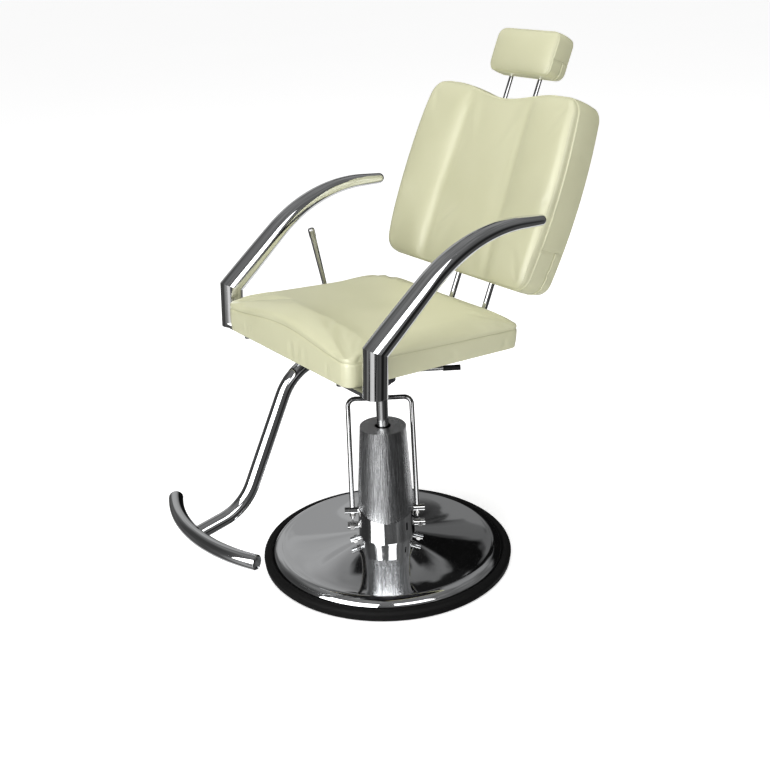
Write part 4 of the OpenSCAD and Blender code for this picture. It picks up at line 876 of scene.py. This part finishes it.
def side_seams(name, obj, pad, height, body):
    """Seams across both side walls at a height, and a welt that joins them round the lower corners."""
    row, count = pad.row_at(height), pad.walls.shape[1]
    welt = pad.walls[WELT_RING][np.arange(-row, pad.columns + row + 1) % count]
    for side, hand in ((1, "left"), (-1, "right")):
        across, up = (pad.walls[1:-1, pad.side_step(side, at) % count] for at in (row, row + 1))
        sink(obj, across, CROSS_DEPTH)
        crease_loop(obj, across, WELT_CREASE)
        points, normals = points_of(obj.data), normals_of(obj.data)
        way = points[up] - points[across]
        way /= np.linalg.norm(way, axis=1)[:, None]
        line = points[across] + way * CROSS_STITCH
        stitches(f"{name}_cross_stitches_{hand}", line, normals[across], body)
    sink(obj, welt, WELT_DEPTH)
    crease_loop(obj, welt, WELT_CREASE)
    points, normals = points_of(obj.data), normals_of(obj.data)
    piping(f"{name}_welt", points[welt] + normals[welt] * WELT_LIFT, body)


def pucker(obj, pad, folds):
    """Small upright folds low on the walls, where the cover is pulled over the lower edge.

    A fold has its step on the walk round the cushion and its width in steps."""
    points, count = points_of(obj.data), pad.walls.shape[1]
    for step, width in folds:
        for share, ring in zip(pad.wall_shares, pad.walls):
            low = max(0.0, (share - (1 - PUCKER_REACH)) / PUCKER_REACH)
            pull = PUCKER_PULL * math.sin(math.pi * min(1.0, low) ** PUCKER_RISE) if low > 0 else 0.0
            for d in range(-PUCKER_STEPS, PUCKER_STEPS + 1):
                place = (step + d) % count
                wave = math.cos(math.pi * d / width) * math.exp(-(d / PUCKER_FADE) ** 2)
                points[ring[place], :2] -= pad.outward[place][:2] * pull * wave
    set_points(obj.data, points)


def cushion(name, pad, place, body, held, lift, pressure, cap, folds=()):
    """Makes a cushion's skin from its grid, swells it and lays it in its place, a lift off its board."""
    points = pad.points + np.array([0, 0, lift])
    obj = mesh_object(name, points, pad.quads, "cream_vinyl", body)
    obj.parent = None
    inflate(obj, held, pressure, cap)
    pucker(obj, pad, folds)
    obj.data.transform(place)
    obj.data.update()
    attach(obj, body)
    return obj


def finish_cushion(obj, node):
    """Smooths the skin and takes the place of its plain solid."""
    soften(obj)
    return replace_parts(obj, node)


def seam_groove(obj, numbers, depth):
    """A sharp groove along a closed seam."""
    sink(obj, numbers, depth)
    crease_loop(obj, closed(numbers), SEAM_CREASE)


def seat_pad():
    pad = Pad(seat_face, columns=84, rows=78, pull=SEAT_WALL_PULL)
    seam = pad.walls[SEAT_SEAM_RING]
    held = np.concatenate([seam, pad.under.ravel()])
    folds = [(18, 3.0), (21, 2.5), (47, 3.0), (51, 2.6), (55, 3.0), (70, 3.2), (102, 3.0),
             (128, 2.8), (150, 3.0), (176, 3.0), (214, 2.6), (258, 3.0), (290, 3.0)]
    obj = cushion("seat_pad", pad, SEAT, "seat", held, lift=0.0003, pressure=1.6, cap=0.006, folds=folds)
    seam_groove(obj, seam, depth=0.0022)
    return finish_cushion(obj, "seat_cushion")


def valley_points(pad):
    """Points of the back's face along both sewn valleys."""
    chosen = []
    for row in pad.face[2:-2]:
        x, valley = pad.points[row, 0], valley_at(pad.points[row[0], 1])
        chosen += [row[np.argmin(np.abs(x - valley))], row[np.argmin(np.abs(x + valley))]]
    return np.array(chosen)


def back_pad():
    pad = Pad(back_face, columns=96, rows=80, pull=WALL_PULL)
    valleys = valley_points(pad)
    held = np.concatenate([pad.walls[0], pad.under.ravel(), valleys])
    folds = [(30, 3.0), (62, 2.6), (110, 3.0), (150, 3.0), (215, 3.0), (262, 3.0), (300, 2.6), (330, 3.0)]
    place = facing_sitter(BACK_DEPTH)
    obj = cushion("back_pad", pad, place, "back", held, lift=-0.0006, pressure=1.8, cap=0.005, folds=folds)
    seam_groove(obj, pad.walls[0], depth=0.0020)
    sink(obj, valleys, depth=0.0006)
    seam_rows("back_stitches", obj, pad, "back")
    side_seams("back", obj, pad, BACK_CROSS_H, "back")
    return finish_cushion(obj, "back_cushion")


def headrest_pad():
    pad = Pad(head_face, columns=44, rows=26, pull=WALL_PULL)
    held = np.concatenate([pad.walls[0], pad.under.ravel()])
    place = facing_sitter(HEAD_FRONT + HEAD_DEPTH)
    obj = cushion("headrest_pad", pad, place, "headrest", held, lift=-0.0006, pressure=2.5, cap=0.006)
    seam_groove(obj, pad.walls[0], depth=0.0018)
    seam_rows("headrest_stitches", obj, pad, "headrest")
    side_seams("headrest", obj, pad, HEAD_LOW + HEAD_CROSS_H, "headrest")
    return finish_cushion(obj, "headrest_cushion")


def underside_shade_sheet():
    """A black sheet under the seat's board, with round corners: painted shade for the seat's dark underside.
    """
    half, rear, front = SHADE_SHEET_HALF - SHADE_SHEET_CORNER, SHADE_SHEET_REAR - SHADE_SHEET_CORNER, SHADE_SHEET_FRONT + SHADE_SHEET_CORNER
    corners = ((half, rear, 0), (-half, rear, 90), (-half, front, 180), (half, front, 270))
    outline = []
    for corner_x, corner_y, turn in corners:
        for a in (math.radians(turn + step) for step in (0, 30, 60, 90)):
            outline.append((corner_x + SHADE_SHEET_CORNER * math.cos(a), corner_y + SHADE_SHEET_CORNER * math.sin(a)))
    rings = [[SEAT @ Vector((x, y, z)) for x, y in outline] for z in (SHADE_SHEET_LOW, SHADE_SHEET_LOW + SHADE_SHEET_T)]
    return loft("seat_underside_shade_sheet", rings, "black_rubber", "seat")


# Studio

WHITE = (1.0, 1.0, 1.0, 1.0)
# Camera, as solved from the photograph: place, angles, and its focal length and middle in pixels
CAMERA_PLACE = (2.0249, -1.4240, 1.4643)
CAMERA_ROUND, CAMERA_ABOVE, CAMERA_ROLL = 56.087, 21.409, -2.580
FOCAL_PIXELS, MIDDLE_X, MIDDLE_Y, PICTURE = 1158.97, 357.83, 366.29, 770
PANEL_DISTANCE, FLOOR_HALF = 2.0, 60.0


def camera():
    az, el, roll = (math.radians(a) for a in (CAMERA_ROUND, CAMERA_ABOVE, CAMERA_ROLL))
    back = Vector((math.sin(az) * math.cos(el), -math.cos(az) * math.cos(el), math.sin(el)))
    right = Vector((math.cos(az), math.sin(az), 0))
    up = back.cross(right)
    side = right * math.cos(roll) + up * math.sin(roll)
    above = up * math.cos(roll) - right * math.sin(roll)
    data = bpy.data.cameras.new("camera")
    data.sensor_width = 36
    data.lens = FOCAL_PIXELS * data.sensor_width / PICTURE
    data.shift_x = (PICTURE / 2 - MIDDLE_X) / PICTURE
    data.shift_y = (MIDDLE_Y - PICTURE / 2) / PICTURE
    obj = bpy.data.objects.new("camera", data)
    turn = Matrix((side, above, back)).transposed().to_4x4()
    obj.matrix_world = Matrix.Translation(CAMERA_PLACE) @ turn
    bpy.context.scene.collection.objects.link(obj)
    bpy.context.scene.camera = obj


def soft_panel(name, around, low, high, width, radiance):
    """An upright soft box that faces the chair: its angle from the front, its two heights and its width."""
    data = bpy.data.lights.new(name, "AREA")
    data.shape = "RECTANGLE"
    data.size, data.size_y = width, high - low
    data.energy = radiance * math.pi * width * (high - low)
    obj = bpy.data.objects.new(name, data)
    a = math.radians(around)
    place = Vector((PANEL_DISTANCE * math.sin(a), -PANEL_DISTANCE * math.cos(a), (low + high) / 2))
    aim = Vector((-place.x, -place.y, 0))
    obj.matrix_world = Matrix.Translation(place) @ aim.to_track_quat("-Z", "Y").to_matrix().to_4x4()
    bpy.context.scene.collection.objects.link(obj)
    return obj


def soft_ceiling(place, width, radiance):
    """A soft box over the chair that no metal mirrors."""
    data = bpy.data.lights.new("ceiling_panel", "AREA")
    data.shape = "SQUARE"
    data.size = width
    data.energy = radiance * math.pi * width ** 2
    obj = bpy.data.objects.new("ceiling_panel", data)
    obj.location = place
    obj.visible_glossy = False
    bpy.context.scene.collection.objects.link(obj)


def direction(around, above):
    """A direction at an angle from the front and an angle above the floor."""
    a, e = math.radians(around), math.radians(above)
    return (math.sin(a) * math.cos(e), -math.cos(a) * math.cos(e), math.sin(e))


# Patches of the room that the metal mirrors: angle from the front, angle above the floor,
# reach, softness of the edge, and tone
ROOM_PATCHES = [
    (-158, 2, 30, 3, 0.004), (-106, 24, 19, 5, 0.42), (-45, 25, 24, 12, 0.050), (122, -12, 17, 6, 0.012),
    (22, -28, 36, 10, 0.42), (-158, -38, 20, 4, 0.85), (-112, -12, 12, 5, 0.60), (104, 4, 7, 4, 0.32),
    (-92, -48, 18, 8, 0.70), (31, -16, 17, 6, 0.95), (-3, -14, 5, 1, 0.01), (57, -14, 4, 1, 0.03),
    (-142, 33, 9, 1, 0.004), (-140, 24, 6, 1, 0.004), (-131, 27, 5, 1, 0.20), (-115, 27, 8, 1, 0.34),
    (-127, 44, 6, 1, 0.010), (-160, 50, 12, 4, 0.26),
]


def patched(tree, ray, tone, patch):
    """Lays one round patch over a tone."""
    around, above, reach, edge, patch_tone = patch
    near = vector_node(tree, "DOT_PRODUCT", ray, direction(around, above)).outputs["Value"]
    low, high = (math.cos(math.radians(reach + sign * edge)) for sign in (1, -1))
    share = spread(tree, near, low, high)
    keep = math_node(tree, "MULTIPLY", tone, math_node(tree, "SUBTRACT", 1.0, share))
    return math_node(tree, "ADD", keep, math_node(tree, "MULTIPLY", share, patch_tone))


def either(tree, factor, first, second):
    """One of two shaders, by a factor."""
    node = tree.nodes.new("ShaderNodeMixShader")
    for socket, value in zip(node.inputs, (factor, first.outputs[0], second.outputs[0])):
        tree.links.new(value, socket)
    return node


def room():
    """A pale room: white to the camera, even for dull surfaces, dark and bright parts for metal."""
    world = bpy.data.worlds.new("studio")
    bpy.context.scene.world = world
    world.use_nodes = True
    tree = world.node_tree
    tree.nodes.clear()
    ray = tree.nodes.new("ShaderNodeTexCoord").outputs["Generated"]
    height = put(tree, "ShaderNodeSeparateXYZ", Vector=ray).outputs["Z"]
    tone = spread(tree, height, -0.2, 0.9, 0.075, 0.18)
    sway = put(tree, "ShaderNodeTexNoise", Vector=ray, Scale=5.0, Detail=3.0).outputs["Color"]
    centred = vector_node(tree, "SUBTRACT", sway, (0.5, 0.5, 0.5)).outputs["Vector"]
    small = put(tree, "ShaderNodeVectorMath", operation="SCALE", Scale=0.12)
    tree.links.new(centred, small.inputs[0])
    swayed = vector_node(tree, "ADD", ray, small.outputs["Vector"]).outputs["Vector"]
    mottle = noise_value(tree, ray, 3.5, 3.0)
    tone = math_node(tree, "MULTIPLY", tone, spread(tree, mottle, 0.3, 0.7, 0.65, 1.35))
    for patch in ROOM_PATCHES:
        tone = patched(tree, swayed, tone, patch)
    path = tree.nodes.new("ShaderNodeLightPath")
    mirrored = put(tree, "ShaderNodeBackground", Color=tone, Strength=1.0)
    even = put(tree, "ShaderNodeBackground", Color=WHITE, Strength=0.52)
    seen = put(tree, "ShaderNodeBackground", Color=WHITE, Strength=1.0)
    lit = either(tree, path.outputs["Is Glossy Ray"], even, mirrored)
    shown = either(tree, path.outputs["Is Camera Ray"], lit, seen)
    out = tree.nodes.new("ShaderNodeOutputWorld")
    tree.links.new(shown.outputs[0], out.inputs["Surface"])


def floor():
    """A wide pale floor that metal doesn't mirror. It glows for the camera, to match the white room."""
    corners = [(x * FLOOR_HALF, y * FLOOR_HALF, 0) for x, y in ((-1, -1), (1, -1), (1, 1), (-1, 1))]
    data = bpy.data.meshes.new("floor")
    data.from_pydata(corners, [], [(0, 1, 2, 3)])
    obj = bpy.data.objects.new("floor", data)
    bpy.context.scene.collection.objects.link(obj)
    made, tree, shader = material("pale floor", Roughness=0.9, Specular_IOR_Level=0.1,
                                  Emission_Color=WHITE[:3])
    tone = noise_value(tree, object_places(tree), 0.8, 2.0)
    tree.links.new(mixed(tree, tone, (0.92, 0.92, 0.92), (0.94, 0.94, 0.94)), shader.inputs["Base Color"])
    seen = tree.nodes.new("ShaderNodeLightPath").outputs["Is Camera Ray"]
    tree.links.new(math_node(tree, "MULTIPLY", seen, 0.48), shader.inputs["Emission Strength"])
    data.materials.append(made)
    obj.visible_glossy = False


def studio():
    """The camera, the room, two panels that only metal shows, and three lights that metal doesn't show."""
    bpy.context.scene.view_settings.view_transform = "Standard"
    camera()
    room()
    floor()
    soft_panel("front_panel", 18, 0.30, 2.3, 2.0, 4.0).visible_diffuse = False
    soft_panel("side_panel", 79, 1.15, 2.4, 1.4, 3.0).visible_diffuse = False
    soft_panel("low_front_panel", 24, 0.05, 0.80, 2.2, 4.0).visible_glossy = False
    soft_panel("low_side_panel", 95, 0.10, 1.5, 2.0, 0.4).visible_glossy = False
    soft_ceiling((0.3, -0.6, 4.6), 3.2, 4.6)


dress_frame()
studio()
base_plate_skin()
arm_tube(1, "arm_left", "arm_tube_left")
arm_tube(-1, "arm_right", "arm_tube_right")
stem_tube()
foot_tube()
seat_pad()
back_pad()
headrest_pad()
underside_shade_sheet()
